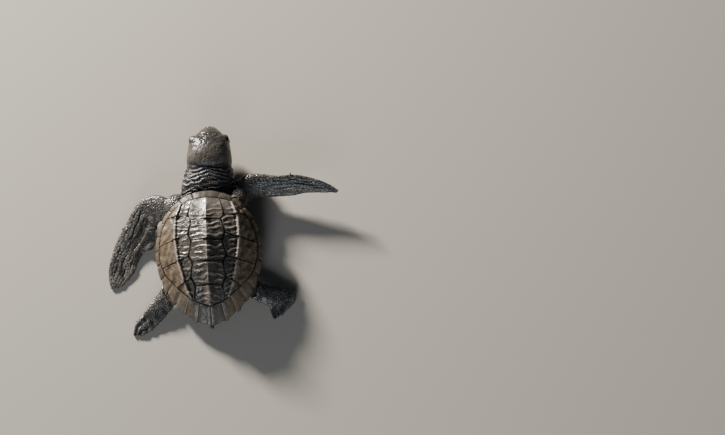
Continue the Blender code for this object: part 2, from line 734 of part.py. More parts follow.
def limbs(cutters, front_cutters):
    left = flipper("arm_front_left", FRONT_LEFT, front_cutters)
    part_at(left, ARM_CUT, "flipper_front_left")
    right = flipper("arm_front_right", FRONT_RIGHT, front_cutters)
    part_at(right, ARM_CUT_RIGHT, "flipper_front_right")
    finish(flipper("flipper_hind_left", HIND_LEFT, cutters), SKIN, 0.5)
    finish(flipper("flipper_hind_right", HIND_RIGHT, cutters), SKIN, 0.5)
    claw("claw_front_left", FRONT_LEFT, 0.60)
    claw("claw_front_right", FRONT_RIGHT, 0.60)
    claw("claw_hind_left", HIND_LEFT, 0.66)
    claw("claw_hind_right", HIND_RIGHT, 0.56)


# ================= all of it =================
def build():
    side_rows(middle_row())
    ring()
    finish(trunk("trunk", 0.0), SKIN, 0.6)
    finish(plastron("plastron", 0.0), PALE, 0.5)
    cutters = [trunk("trunk_room", GAP, tools), plastron("plastron_room", GAP, tools)]
    cutters.append(cap("shell_room", 1.04, 0.3, RIM + GAP + 0.1, tools))
    head_and_beak()
    neck(cutters)
    tail(cutters)
    beside = loft("neck_room", rings_from(NECK_SECTIONS, 2, 20, GAP), tools)
    limbs(cutters, cutters + [beside])
    for obj in tools.objects:
        obj.hide_render = True
        obj.display_type = "WIRE"


build()
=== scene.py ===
# %% [markdown]
# # A loggerhead turtle hatchling
# The solids of the animal are made and fixed: plates of the shell, head, neck, flippers. This
# lesson dresses them. Each horn plate gets a worked surface of its own, and one skin covers the
# flesh, so no joint shows between head, neck and limbs. All of it could be sculpted by hand;
# here short functions do the work, so every run gives the same animal. Lengths inside the
# helpers are in millimetres, because the whole animal is only 80 mm across. Each piece goes back
# to metres when it is closed.

# %% Start
import bpy
import bmesh
import math
import time
import numpy as np
from mathutils import Matrix, Vector, kdtree
from types import SimpleNamespace


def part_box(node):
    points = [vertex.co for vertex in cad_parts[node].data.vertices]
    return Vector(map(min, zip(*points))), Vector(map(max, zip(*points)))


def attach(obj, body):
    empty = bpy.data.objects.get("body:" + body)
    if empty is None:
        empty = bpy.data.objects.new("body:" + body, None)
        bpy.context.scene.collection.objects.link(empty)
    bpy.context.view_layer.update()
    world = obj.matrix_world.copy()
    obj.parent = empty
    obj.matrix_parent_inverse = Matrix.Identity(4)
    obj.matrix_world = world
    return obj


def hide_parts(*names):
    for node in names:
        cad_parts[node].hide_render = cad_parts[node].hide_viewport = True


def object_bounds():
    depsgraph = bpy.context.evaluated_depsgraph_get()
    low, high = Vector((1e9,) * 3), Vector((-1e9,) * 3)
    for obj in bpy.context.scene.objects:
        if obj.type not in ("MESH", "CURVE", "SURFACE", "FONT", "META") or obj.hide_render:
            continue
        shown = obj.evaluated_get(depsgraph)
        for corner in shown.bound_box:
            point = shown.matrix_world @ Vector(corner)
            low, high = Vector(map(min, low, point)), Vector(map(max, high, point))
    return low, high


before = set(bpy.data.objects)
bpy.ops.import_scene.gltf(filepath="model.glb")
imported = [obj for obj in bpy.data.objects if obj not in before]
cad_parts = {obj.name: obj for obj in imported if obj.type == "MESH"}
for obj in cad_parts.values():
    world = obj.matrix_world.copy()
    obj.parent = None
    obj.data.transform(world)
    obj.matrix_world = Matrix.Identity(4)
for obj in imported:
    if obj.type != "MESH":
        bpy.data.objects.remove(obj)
CAD_BOX = [list(corner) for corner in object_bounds()]
MM = 0.001
STARTED = time.time()
print("solids:", len(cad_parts), "box:", CAD_BOX)

# %% [markdown]
# ## Working copies
# A solid arrives as loose triangles. Its copy is merged, its triangles are paired back into
# four-sided faces, and it is scaled to millimetres. The triangles could be subdivided as they
# are, but they turn lumpy, while four-sided faces give smooth, even forms.

# %% Copying a solid
WELD = 0.001


def alone(obj):
    """Selects one object only, and makes it the active one."""
    bpy.ops.object.select_all(action="DESELECT")
    obj.select_set(True)
    bpy.context.view_layer.objects.active = obj


def working_copy(node, name):
    """A merged copy of a solid, in millimetres."""
    obj = bpy.data.objects.new(name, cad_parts[node].data.copy())
    obj.data.name = name
    obj.data.materials.clear()
    bpy.context.scene.collection.objects.link(obj)
    obj.data.transform(Matrix.Scale(1 / MM, 4))
    alone(obj)
    bpy.ops.object.mode_set(mode="EDIT")
    bpy.ops.mesh.select_all(action="SELECT")
    bpy.ops.mesh.remove_doubles(threshold=WELD)
    bpy.ops.mesh.tris_convert_to_quads(face_threshold=math.pi, shape_threshold=math.pi)
    bpy.ops.object.mode_set(mode="OBJECT")
    return obj


def triangles(obj):
    """How many triangles a mesh has."""
    return sum(len(face.vertices) - 2 for face in obj.data.polygons)


print("triangles of all solids:", sum(triangles(obj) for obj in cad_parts.values()))

# %% [markdown]
# ## Modifiers, applied at once
# Horn and flesh are shaped by the same few modifiers: subdivision rounds a form, creased edges
# stay sharp under it, and a voxel remesh melts several forms into one skin. Modifiers can stay
# live, but the relief is carved into the finished points, so each is applied straight away.

# %% Modifiers and creases
def apply_modifier(obj, kind, **settings):
    """Adds one modifier, sets it and applies it."""
    mod = obj.modifiers.new(kind.lower(), kind)
    for key, value in settings.items():
        setattr(mod, key, value)
    alone(obj)
    bpy.ops.object.modifier_apply(modifier=mod.name)


def subdivide(obj, levels):
    """Splits each face in four, a number of times, and rounds the form."""
    apply_modifier(obj, "SUBSURF", levels=levels, render_levels=levels)


def melt(obj, voxel, passes):
    """Rebuilds a mesh as one even skin, and smooths the steps that the voxels leave."""
    apply_modifier(obj, "REMESH", mode="VOXEL", voxel_size=voxel, use_smooth_shade=True)
    apply_modifier(obj, "SMOOTH", factor=0.5, iterations=passes)
    print(obj.name, "melted into one skin of", len(obj.data.vertices), "points")


def is_fold(edge, degrees):
    """Whether the two faces at an edge turn by more than an angle."""
    return len(edge.link_faces) == 2 and edge.calc_face_angle(0) > math.radians(degrees)


def crease_edges(obj, rule):
    """Gives each edge the sharpness, 0 to 1, that a rule returns for it."""
    bm = bmesh.new()
    bm.from_mesh(obj.data)
    layer = bm.edges.layers.float.new("crease_edge")
    for edge in bm.edges:
        edge[layer] = rule(edge)
    bm.to_mesh(obj.data)
    bm.free()


print("two levels of subdivision make", 4 ** 2, "faces of each four-sided one")

# %% [markdown]
# ## Reading and moving the points of a mesh
# Relief such as scales and growth rings is worked out for all points of a mesh at once with
# numpy, and each point then moves along its own normal. Sculpting by hand would do the same work
# one stroke at a time; here a few lines of arithmetic repeat it exactly.

# %% Points and normals
def points(obj):
    """The places of all points, one row each."""
    co = np.empty(len(obj.data.vertices) * 3)
    obj.data.vertices.foreach_get("co", co)
    return co.reshape(-1, 3)


def put_points(obj, co):
    """Puts all points at new places."""
    obj.data.vertices.foreach_set("co", np.ascontiguousarray(co, dtype=np.float32).ravel())
    obj.data.update()


def point_normals(obj):
    """The way out of the surface at each point."""
    no = np.empty(len(obj.data.vertices) * 3)
    obj.data.vertex_normals.foreach_get("vector", no)
    return no.reshape(-1, 3)


def carve(obj, p, n, height):
    """Moves each point along its normal, by its own height in mm."""
    put_points(obj, p + n * height[:, None])


def unit(rows):
    """Each row as a direction of length one."""
    return rows / np.linalg.norm(rows, axis=1, keepdims=True)


print("points of the trunk solid:", len(points(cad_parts["trunk"])))

# %% [markdown]
# ## Soft borders and soft lines
# No border on an animal is a hard cut. A soft step fades from 0 to 1 between two places, and a
# bump is a soft line of some width. They could be drawn as weight paint; as formulas they stay
# exact when a piece changes.

# %% Soft step and bump
def soft_step(low, high, x):
    """0 up to low, 1 from high on, with a smooth rise between them. It falls if high is below low."""
    t = np.clip((x - low) / (high - low), 0.0, 1.0)
    return t * t * (3 - 2 * t)


def bump(x, middle, width):
    """1 at the middle, fading to 0 on both sides."""
    return np.exp(-((x - middle) / width) ** 2)


print("half way up a soft step:", soft_step(0.0, 1.0, 0.5))
print("one width beside the middle of a bump: %.2f" % bump(1.0, 0.0, 1.0))

# %% [markdown]
# ## Irregular fields
# Nothing on an animal repeats exactly. This field adds up fourteen waves with random directions
# that a fixed seed chooses, so it is smooth, has no direction of its own, and comes out the same
# on every run. A noise texture would do for colour, but these numbers also have to move points.
# Stretching the points first makes streaks or folds out of it.

# %% Waves that never repeat
WAVES = 14
USUAL_PEAK = 4.2


def ripple(p, size, seed, stretch=(1.0, 1.0, 1.0)):
    """A smooth irregular field between about -1 and 1, with features of one size in mm."""
    rng = np.random.default_rng(seed)
    way = unit(rng.normal(size=(WAVES, 3)))
    rate = 2 * math.pi / size * rng.uniform(0.6, 1.5, (WAVES, 1))
    start = rng.uniform(0, 2 * math.pi, WAVES)
    total = np.sin((p * np.array(stretch)) @ (way * rate).T + start).sum(1)
    return np.clip(total / USUAL_PEAK, -1.2, 1.2)


sample = ripple(np.linspace((0, 0, 0), (80, 0, 0), 400), 9.0, 1)
print("a field over 80 mm runs from %.2f to %.2f" % (sample.min(), sample.max()))

# %% [markdown]
# ## What a finish reads from the mesh
# Four numbers are kept at every point: relief (low in hollows, high on crests), tint (how much of
# the second colour shows), tone (lighter or darker) and wet. They could be painted images, but
# then each piece would need an unwrapped map. Kept at the points, they always fit the carving.

# %% Keeping the look of a piece
LOOK_RANGE = {"relief": (0.0, 1.2), "tint": (0.0, 1.0), "tone": (-2.0, 2.0), "wet": (0.0, 1.0)}


def set_look(obj, relief, tint=0.0, tone=0.0, wet=0.0):
    """Keeps four numbers per point, which the finishes read by name."""
    for (name, ends), values in zip(LOOK_RANGE.items(), (relief, tint, tone, wet)):
        spread = np.broadcast_to(np.clip(values, *ends), len(obj.data.vertices))
        layer = obj.data.attributes.new(name, "FLOAT", "POINT")
        layer.data.foreach_set("value", spread.astype(np.float32))


print("each point keeps:", list(LOOK_RANGE))

# %% [markdown]
# ## Shader building blocks
# Two effects are shared by all skin and horn, so each is built once as a node group: fine grain,
# and a colour that changes with relief and patches. The nodes could be laid out in every
# material, but a group keeps them in one place. Groups give out only colours and values. The
# Principled shader stays in each material.

# %% Small shader helpers
def feed(tree, socket, value):
    """Gives a socket a number or a colour, or links the output of another node to it."""
    if isinstance(value, bpy.types.NodeSocket):
        tree.links.new(value, socket)
    elif isinstance(value, tuple):
        socket.default_value = (*value, 1.0)
    else:
        socket.default_value = value


def math_node(tree, operation, *values, clamp=False):
    """One sum or product of two values. MULTIPLY_ADD takes three."""
    node = tree.nodes.new("ShaderNodeMath")
    node.operation = operation
    node.use_clamp = clamp
    for socket, value in zip(node.inputs, values):
        feed(tree, socket, value)
    return node.outputs[0]


def mix_colour(tree, factor, a, b, mode="MIX"):
    """Mixes two colours. A Mix node keeps its colour sockets at places 6, 7 and 2."""
    node = tree.nodes.new("ShaderNodeMix")
    node.data_type = "RGBA"
    node.blend_type = mode
    for place, value in ((0, factor), (6, a), (7, b)):
        feed(tree, node.inputs[place], value)
    return node.outputs[2]


def map_range(tree, value, low, high, to_low=0.0, to_high=1.0):
    """Carries a value over from one range to another."""
    node = tree.nodes.new("ShaderNodeMapRange")
    tree.links.new(value, node.inputs["Value"])
    ends = {"From Min": low, "From Max": high, "To Min": to_low, "To Max": to_high}
    for label, number in ends.items():
        node.inputs[label].default_value = number
    return node.outputs["Result"]


def new_group(name, inputs, outputs):
    """An empty node group with named sockets, and its two end nodes."""
    group = bpy.data.node_groups.new(name, "ShaderNodeTree")
    for sockets, side in ((inputs, "INPUT"), (outputs, "OUTPUT")):
        for label, kind in sockets.items():
            group.interface.new_socket(name=label, in_out=side, socket_type="NodeSocket" + kind)
    return group, group.nodes.new("NodeGroupInput"), group.nodes.new("NodeGroupOutput")


print("shader helpers are ready, node groups so far:", len(bpy.data.node_groups))

# %% [markdown]
# ## Fine grain
# Up close, horn and skin are pebbled, a few grains to a millimetre, with soft patches between.
# So fine a relief would take millions of faces, so it is a height for a Bump node instead: round
# cells with cloudy noise over them.

# %% Grain group
PEBBLES = 0.6
CLOUD_PER_PEBBLE = 0.35
PATCH_PER_PEBBLE = 0.09


def cloud_noise(tree, scale, detail=2.0, roughness=0.5):
    """Cloudy noise over the piece's own coordinates."""
    place = tree.nodes.new("ShaderNodeTexCoord")
    node = tree.nodes.new("ShaderNodeTexNoise")
    tree.links.new(place.outputs["Object"], node.inputs["Vector"])
    feed(tree, node.inputs["Scale"], scale)
    node.inputs["Detail"].default_value = detail
    node.inputs["Roughness"].default_value = roughness
    return node.outputs["Fac"]


def grain_group():
    """Fine pebbled grain as a height, and much larger patches."""
    group, given, result = new_group("fine_grain", {"Size": "Float"},
                                     {"Height": "Float", "Patch": "Float"})
    size = given.outputs["Size"]
    place = group.nodes.new("ShaderNodeTexCoord")
    cells = group.nodes.new("ShaderNodeTexVoronoi")
    cells.feature = "SMOOTH_F1"
    cells.inputs["Randomness"].default_value = 0.9
    group.links.new(place.outputs["Object"], cells.inputs["Vector"])
    group.links.new(size, cells.inputs["Scale"])
    cloud = cloud_noise(group, math_node(group, "MULTIPLY", size, CLOUD_PER_PEBBLE), 6.0, 0.62)
    height = math_node(group, "MULTIPLY_ADD", cells.outputs["Distance"], PEBBLES, cloud)
    patch = cloud_noise(group, math_node(group, "MULTIPLY", size, PATCH_PER_PEBBLE), 3.0)
    group.links.new(height, result.inputs["Height"])
    group.links.new(patch, result.inputs["Patch"])
    return group


GRAIN = grain_group()
print("group:", GRAIN.name, "with", len(GRAIN.nodes), "nodes")

# %% [markdown]
# ## Colour that follows the relief
# Hollows of horn and skin are painted nearly black, as painted shade, while crests are painted pale,
# partly as wear and partly as painted highlight, though not evenly. A cavity mask could be worked
# out from the mesh by the renderer, but the carving already knows its own depth, so the colour
# reads that number.

# %% Relief colour group
HOLLOW_RANGE = (0.15, 0.5)
WEAR_AND_SHEEN_RANGE = (0.62, 1.0)
PATCHINESS = 0.9
CREST_SHINE = 0.7


def relief_group():
    """Painted shade in hollows, patchy pale crests (wear and painted highlight), dull where relief is
    low.
    """
    group, given, result = new_group(
        "relief_colour", {"Body": "Color", "Hollow_Shade": "Color", "Worn_And_Sheen": "Color",
                          "Relief": "Float", "Patch": "Float", "Wear_And_Sheen": "Float"},
        {"Color": "Color", "Dull": "Float"})
    relief = given.outputs["Relief"]
    # Low relief takes the hollow colour: painted shade in hollows and seams.
    lit = map_range(group, relief, *HOLLOW_RANGE)
    base = mix_colour(group, lit, given.outputs["Hollow_Shade"], given.outputs["Body"])
    uneven = math_node(group, "SUBTRACT", given.outputs["Patch"], 0.5)
    lifted = math_node(group, "MULTIPLY_ADD", uneven, PATCHINESS, relief)
    # High relief takes the pale colour: wear on crests, and a painted highlight on them.
    crest = map_range(group, lifted, *WEAR_AND_SHEEN_RANGE)
    paleness = math_node(group, "MULTIPLY", crest, given.outputs["Wear_And_Sheen"], clamp=True)
    colour = mix_colour(group, paleness, base, given.outputs["Worn_And_Sheen"])
    dull = math_node(group, "MULTIPLY_ADD", relief, -CREST_SHINE, 1.0, clamp=True)
    group.links.new(colour, result.inputs["Color"])
    group.links.new(dull, result.inputs["Dull"])
    return group


RELIEF = relief_group()
print("group:", RELIEF.name, "with", len(RELIEF.nodes), "nodes")

# %% [markdown]
# ## One recipe for skin and horn
# Both are the same stuff in different thickness, so every finish is one recipe with its own
# values: relief paints shade into hollows and pales crests with wear and painted highlight, a tint
# shows on outer plates and flipper edges, wet parts shine, and grain gives the small sparkle. Each
# finish could be laid out by itself, but one recipe keeps them alike, as they are on the animal.

# %% The recipe
WET_SHINE = 0.6
BUMP_STRENGTH = 0.8


def new_material(name):
    """A material with nodes, its node tree and its Principled shader."""
    mat = bpy.data.materials.new(name)
    mat.use_nodes = True
    return mat, mat.node_tree, mat.node_tree.nodes["Principled BSDF"]


def kept(tree, name):
    """One of the numbers that are kept at the points."""
    node = tree.nodes.new("ShaderNodeAttribute")
    node.attribute_name = name
    return node.outputs["Fac"]


def place_group(tree, group, values):
    """Puts a node group in a material, with a value for each of its inputs."""
    node = tree.nodes.new("ShaderNodeGroup")
    node.node_tree = group
    for label, value in values.items():
        feed(tree, node.inputs[label], value)
    return node.outputs


def animal_finish(name, body, hollow, paleness, tint, wear_and_sheen, size, gloss=(0.32, 0.62),
                  bump_depth=0.00004, level=0.5, tone_depth=0.35):
    """A finish for skin or horn. Size is in grains per metre, gloss is the range of roughness."""
    mat, tree, shader = new_material(name)
    grain = place_group(tree, GRAIN, {"Size": size})
    tinted = mix_colour(tree, kept(tree, "tint"), body, tint)
    tone = math_node(tree, "MULTIPLY_ADD", kept(tree, "tone"), tone_depth, 1.0)
    shaded = mix_colour(tree, 1.0, tinted, tone, "MULTIPLY")
    # The hollow colour is painted shade; the pale colour is wear with a painted highlight on crests.
    relief = place_group(tree, RELIEF, {
        "Body": shaded, "Hollow_Shade": hollow, "Worn_And_Sheen": paleness, "Relief": kept(tree, "relief"),
        "Patch": grain["Patch"], "Wear_And_Sheen": wear_and_sheen})
    patches = math_node(tree, "MULTIPLY", grain["Patch"], 0.5)
    dullness = math_node(tree, "MULTIPLY_ADD", relief["Dull"], 0.6, patches)
    rough = map_range(tree, dullness, 0.0, 1.0, *gloss)
    dry = math_node(tree, "MULTIPLY_ADD", kept(tree, "wet"), -WET_SHINE, 1.0)
    pebbled = tree.nodes.new("ShaderNodeBump")
    pebbled.inputs["Strength"].default_value = BUMP_STRENGTH
    pebbled.inputs["Distance"].default_value = bump_depth
    tree.links.new(grain["Height"], pebbled.inputs["Height"])
    tree.links.new(relief["Color"], shader.inputs["Base Color"])
    tree.links.new(math_node(tree, "MULTIPLY", rough, dry), shader.inputs["Roughness"])
    tree.links.new(pebbled.outputs["Normal"], shader.inputs["Normal"])
    shader.inputs["Specular IOR Level"].default_value = level
    return mat


print("recipe ready, reading", len(RELIEF.interface.items_tree), "sockets of", RELIEF.name)

# %% [markdown]
# ## Colours of the shell
# The back of a hatchling is grey brown, browner towards the rim, with crests that dry to a pale
# grey and also carry a painted highlight, and hollows painted nearly black as painted shade.
# Underneath it is the colour of old ivory, stained dark in patches. The plates of the rim lie lower
# and shine less. Plain values are enough, because the recipe varies them.

# %% Horn of the shell
BACK_HORN = animal_finish(
    "back_horn", body=(0.112, 0.099, 0.087), hollow=(0.018, 0.015, 0.013), paleness=(0.44, 0.40, 0.35),
    tint=(0.165, 0.119, 0.075), wear_and_sheen=0.75, size=2600.0, gloss=(0.28, 0.55))
EDGE_HORN = animal_finish(
    "edge_horn", body=(0.100, 0.086, 0.072), hollow=(0.020, 0.016, 0.013), paleness=(0.30, 0.26, 0.21),
    tint=(0.148, 0.112, 0.076), wear_and_sheen=0.5, size=2600.0, gloss=(0.28, 0.55), level=0.38)
BELLY_HORN = animal_finish(
    "belly_horn", body=(0.30, 0.24, 0.185), hollow=(0.09, 0.07, 0.055), paleness=(0.50, 0.43, 0.34),
    tint=(0.13, 0.105, 0.085), wear_and_sheen=0.5, size=2400.0)
print("finishes of the shell:", BACK_HORN.name, EDGE_HORN.name, BELLY_HORN.name)

# %% [markdown]
# ## Colours of the soft parts, beak and claws
# The skin is charcoal on its scales and painted nearly black between them, as painted shade; its
# crests take a painted highlight. Beak and claws are dark horn, smoother and glossier than the
# shell. They could share one finish, but a claw is a little browner and turns dark at its root.

# %% Skin, beak and claws
SKIN = animal_finish(
    "dark_skin", body=(0.044, 0.043, 0.043), hollow=(0.008, 0.008, 0.008), paleness=(0.25, 0.235, 0.22),
    tint=(0.108, 0.092, 0.077), wear_and_sheen=0.55, size=3400.0, gloss=(0.24, 0.56), bump_depth=0.00009,
    level=0.41, tone_depth=0.25)
BEAK_HORN = animal_finish(
    "beak_horn", body=(0.036, 0.033, 0.030), hollow=(0.012, 0.011, 0.010), paleness=(0.15, 0.135, 0.12),
    tint=(0.085, 0.073, 0.060), wear_and_sheen=0.45, size=1800.0, gloss=(0.22, 0.45), bump_depth=0.00002)
CLAW_HORN = animal_finish(
    "claw_horn", body=(0.055, 0.048, 0.041), hollow=(0.02, 0.017, 0.014), paleness=(0.14, 0.12, 0.10),
    tint=(0.036, 0.033, 0.030), wear_and_sheen=0.4, size=1800.0, gloss=(0.25, 0.45), bump_depth=0.00002)
print("finishes of the rest:", SKIN.name, BEAK_HORN.name, CLAW_HORN.name)

# %% [markdown]
# ## Closing a piece
# Each finished piece is kept inside the box of the solids, goes back to metres, gets its finish
# and rides on the animal's one body. Its object stays at the origin, with its place in its mesh.
# This could be done piece by piece at the end; one function makes sure none is forgotten.

# %% The last steps of a piece
BOX_LOW, BOX_HIGH = np.array(CAD_BOX) / MM


def close_piece(obj, material, nodes):
    """Ends the work on a piece that stands for one or more solids."""
    put_points(obj, np.clip(points(obj), BOX_LOW, BOX_HIGH))
    obj.data.transform(Matrix.Scale(MM, 4))
    obj.data.materials.clear()
    obj.data.materials.append(material)
    alone(obj)
    bpy.ops.object.shade_smooth()
    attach(obj, "root")
    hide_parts(*nodes)
    print("%-24s %7d triangles" % (obj.name, triangles(obj)))


print("box in mm:", BOX_LOW.round(1), BOX_HIGH.round(1))

# %% [markdown]
# ## The horn plates of the back
# Five plates run down the middle of the back, five on each side of them, and a ring of smaller
# ones forms the rim. Three keels run along the back: one down the middle and one on each side.
# Rim and keels have to stay sharp while the faces turn smooth. Bevels could do that, but a crease
# on those edges gives the same with fewer faces.

# %% Smooth plate from a solid
KEEL_Y = [-18.0, -12.6, -5.4, 2.2, 11.2, 18.0]
KEEL_X = [8.6, 10.6, 10.9, 10.0, 7.6, 4.6]
PLATE_LEVELS = {"back": 4, "side": 4, "edge": 3}
RIM_CREASE = 0.85
KEEL_CREASE = 0.75
ON_KEEL = 0.05


def keel_at(y):
    """How far out the side keels run, at a place along the shell."""
    return np.interp(y, KEEL_Y, KEEL_X)


def kind_of(node):
    """back for the middle row, side for the rows beside it, edge for the rim."""
    return "back" if "vertebral" in node else "side" if "costal" in node else "edge"


def plate_crease(edge, kind):
    """How sharp an edge of a plate stays."""
    keel = [keel_at(v.co[1]) if kind == "side" else 0.0 for v in edge.verts]
    if kind != "edge" and all(abs(abs(v.co[0]) - x) < ON_KEEL for v, x in zip(edge.verts, keel)):
        return KEEL_CREASE
    return RIM_CREASE if is_fold(edge, 60) else 0.0


def smooth_plate(node, kind):
    """A plate's solid with its faces rounded and its rim and keel kept."""
    obj = working_copy(node, node.replace("scute_", "horn_"))
    crease_edges(obj, lambda edge: plate_crease(edge, kind))
    subdivide(obj, PLATE_LEVELS[kind])
    return obj


PLATES = [node for node in sorted(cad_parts) if node.startswith("scute_")]
for kind in PLATE_LEVELS:
    print("plates of kind", kind + ":", sum(kind_of(node) == kind for node in PLATES))

# %% [markdown]
# ## Face, outline and seams of a plate
# Growth rings follow a plate's outline, so each point needs its distance from there. The outline
# could be traced edge by edge; it is simpler to gather the points of the plate's side wall and ask
# for the nearest. The solids stand apart by a thin gap, which is pushed nearly shut, so
# that neighbours meet in a groove, as grown horn does.

# %% Measuring a plate
SHELL_HEART = np.array([0.0, -1.0, -9.0])
WALL_FACING = 0.42
MANY = 900
SEAM_FILL = {"back": 0.10, "side": 0.10, "edge": 0.14}
REAR_FILL = 0.14


def tree_of(places):
    """A search tree that finds the nearest of many places."""
    tree = kdtree.KDTree(len(places))
    for i, place in enumerate(places):
        tree.insert(place, i)
    tree.balance()
    return tree


def measure_plate(p, n):
    """The way out of the shell at each point, how much it faces that way, and its margin."""
    out = unit(p - SHELL_HEART)
    facing = (n * out).sum(1)
    wall = p[np.abs(facing) < WALL_FACING]
    tree = tree_of(wall[::2] if len(wall) > MANY else wall)
    margin = np.array([tree.find(q)[2] for q in p])
    return out, facing, margin


def close_seams(p, n, out, facing, kind):
    """Pushes a plate's walls towards its neighbours, furthest between the rows at the rear."""
    sideways = n - facing[:, None] * out
    away = unit(p * np.array([1.0, 1.0, 0.0]))
    toward = (sideways * away).sum(1) * (-1 if kind == "edge" else 1)
    fill = SEAM_FILL[kind] + REAR_FILL * np.clip(toward, 0, 1) * soft_step(4.0, 13.0, p[:, 1])
    return p + sideways * (fill * (1 - soft_step(0.75, 0.97, facing)))[:, None]


print("the rear seams close by up to %.2f mm a side" % (max(SEAM_FILL.values()) + REAR_FILL))

# %% [markdown]
# ## Patterns of a plate
# Between the keels the horn is thrown into fine cross wrinkles, outside them it is dented, and
# faint rings lie inside the seams. The wrinkles could be one stripe pattern, but then they would
# look combed: here they bow, wander and break off. All patterns are worked out once, and both
# relief and colour are mixed from them.

# %% Wrinkles, dents and keels
WRINKLE_GAP = 1.9


def wrinkles(p, inside, seed):
    """Cross wrinkles with narrow crests, which bend a little and break off here and there."""
    bow = 0.012 * p[:, 0] ** 2 + 0.45 * ripple(p, 9.0, seed + 1)
    turn = (p[:, 1] + bow) / WRINKLE_GAP + 0.16 * ripple(p, 4.0, seed + 2)
    crest = (1 - np.abs(np.sin(math.pi * turn))) ** 1.6
    whole = soft_step(-0.75, 0.15, ripple(p, 3.4, seed + 3, (0.5, 1.0, 1.0)))
    return crest * whole * inside


def plate_patterns(p, margin, kind, seed):
    """Everything that a plate's relief and colour are mixed from."""
    x, y, flat = p[:, 0], p[:, 1], kind != "edge"
    f = SimpleNamespace()
    f.off = np.abs(x) - keel_at(y)
    f.beyond = soft_step(-0.3, 0.9, f.off)
    f.inside = (1 - f.beyond) * soft_step(0.1, 0.7, margin)
    f.front = soft_step(-19.5, -13.0, y)
    f.calm = 1 - 0.75 * soft_step(-12.5, -15.0, y) * flat
    f.crease = wrinkles(p, f.inside, seed) * (0.25 + 0.75 * f.front) * flat
    f.small = ripple(p, 0.8, seed + 4, (0.6, 1.0, 1.0))
    f.dent = ripple(p, 2.4, seed + 5, (1.0, 0.75, 1.0))
    f.groove = bump(f.off, -0.72, 0.30) * soft_step(0.1, 0.6, margin) * (kind == "side")
    keels = {"back": np.exp(-np.abs(x) / 0.28), "side": bump(f.off, 0, 0.42)}
    f.keel = keels.get(kind, np.zeros(len(p)))
    return f


print("cross wrinkles lie %.1f mm apart" % WRINKLE_GAP)

# %% [markdown]
# ## Relief of a plate
# The height of each point is a sum: wrinkles, fine grain, rings, dents, the keel and the dip at
# the seam. The last plate of the middle row ends in a knob, and the two plates over the tail are
# lifted a little. A sculptor would build these up in the same order, large over small.

# %% Heights in mm
WRINKLE = {"back": 0.25, "side": 0.25, "edge": 0.0}
RING_GAP = 0.9
RIM_ROLL = 0.14
SIDE_KEEL = 0.40
KEEL_GROOVE = 0.16
LAST_KNOB = 0.75
TAIL_LIFT = 0.42
SEAM_DIP = 0.10


def plate_height(p, margin, f, node):
    """How far each point of a plate's face moves out, in mm."""
    kind = kind_of(node)
    side, edge = kind == "side", kind == "edge"
    ring = np.sin(2 * math.pi * margin / RING_GAP) * np.exp(-margin / 1.3) * f.calm
    height = WRINKLE[kind] * (f.crease - 0.30 * f.inside)
    height += (0.014 + 0.030 * f.inside * f.front) * f.small * f.calm
    height += (0.016 + 0.016 * f.beyond * side) * ring
    height += (0.05 + 0.10 * f.beyond * side - 0.02 * f.front * edge) * f.dent
    if edge:
        height += RIM_ROLL * soft_step(0.0, 1.1, margin) - 0.06
    elif side:
        height += SIDE_KEEL * f.keel * (1 - 0.6 * f.crease) - KEEL_GROOVE * f.groove
    else:
        height *= 1 - 0.8 * f.keel
    if node.endswith("vertebral_5"):
        height += LAST_KNOB * bump(p[:, 0], 0, 1.3) * soft_step(8.0, 13.5, p[:, 1])
    if node.endswith("_12"):
        height += TAIL_LIFT * bump(p[:, 0], 0, 1.5)
    height -= SEAM_DIP * bump(margin, 0, 0.20)
    return np.clip(height, -0.4, 0.8)


print("highest knob:", LAST_KNOB, "mm, side keels:", SIDE_KEEL, "mm")

# %% [markdown]
# ## Look of a plate
# Crests of wrinkles and keels are painted pale, partly as wear and partly as painted highlight. The
# seam is painted dark as painted shade, and the groove beside a side keel as the painted shadow of
# the keel. Brown grows stronger outwards. The front rim is darker and the rear rim paler. The same
# patterns that carved the plate are mixed again, so colour and carving agree.

# %% Colour values and gloss
EDGE_WET = 0.30


def plate_look(obj, p, margin, face, f, kind, seed):
    """Keeps relief, tint, tone and wet for one plate."""
    edge = kind == "edge"
    # Wrinkle crests painted pale, wear and painted highlight; painted shade between the wrinkles.
    paleness = 0.43 + 0.44 * f.crease + 0.08 * f.small * f.front
    paleness += 0.14 * (1 - f.front) * (not edge) - 0.12 * f.inside * (1 - f.crease) * f.front
    paleness += (0.24 * soft_step(6.0, 14.0, p[:, 1]) - 0.08 * (1 - f.front)) * edge
    # Painted highlight on keel crests; painted shadow of each side keel in the groove beside it.
    paleness += 0.45 * f.keel - 0.20 * f.groove + 0.06 * f.beyond * f.dent
    # Painted shade in the seam between plates.
    paleness -= (0.35 - 0.13 * f.beyond) * bump(margin, 0, 0.16)
    brown = soft_step(-1.6, 2.4, f.off + ripple(p, 3.2, seed + 9))
    brown = brown * (0.80 + 0.12 * ripple(p, 2.2, seed + 6))
    tone = 0.3 * ripple(p, 4.2, seed + 7) + 0.25 * ripple(p, 1.3, seed + 8)
    tone = tone - 0.7 * (1 - f.front) * edge
    wet = 0.55 + 0.6 * ripple(p, 2.6, seed + 10) + 0.25 * (1 - f.calm)
    set_look(obj, paleness * face + 0.1 * (1 - face), brown, tone, wet * (EDGE_WET if edge else 1.0))


def work_plate(obj, node, seed):
    """Carves and colours one plate."""
    kind = kind_of(node)
    p, n = points(obj), point_normals(obj)
    out, facing, margin = measure_plate(p, n)
    face = soft_step(0.45, 0.8, facing)
    p = close_seams(p, n, out, facing, kind)
    f = plate_patterns(p, margin, kind, seed)
    carve(obj, p, n, plate_height(p, margin, f, node) * face)
    plate_look(obj, p, margin, face, f, kind, seed)


print("gloss of the rim against the back:", EDGE_WET)

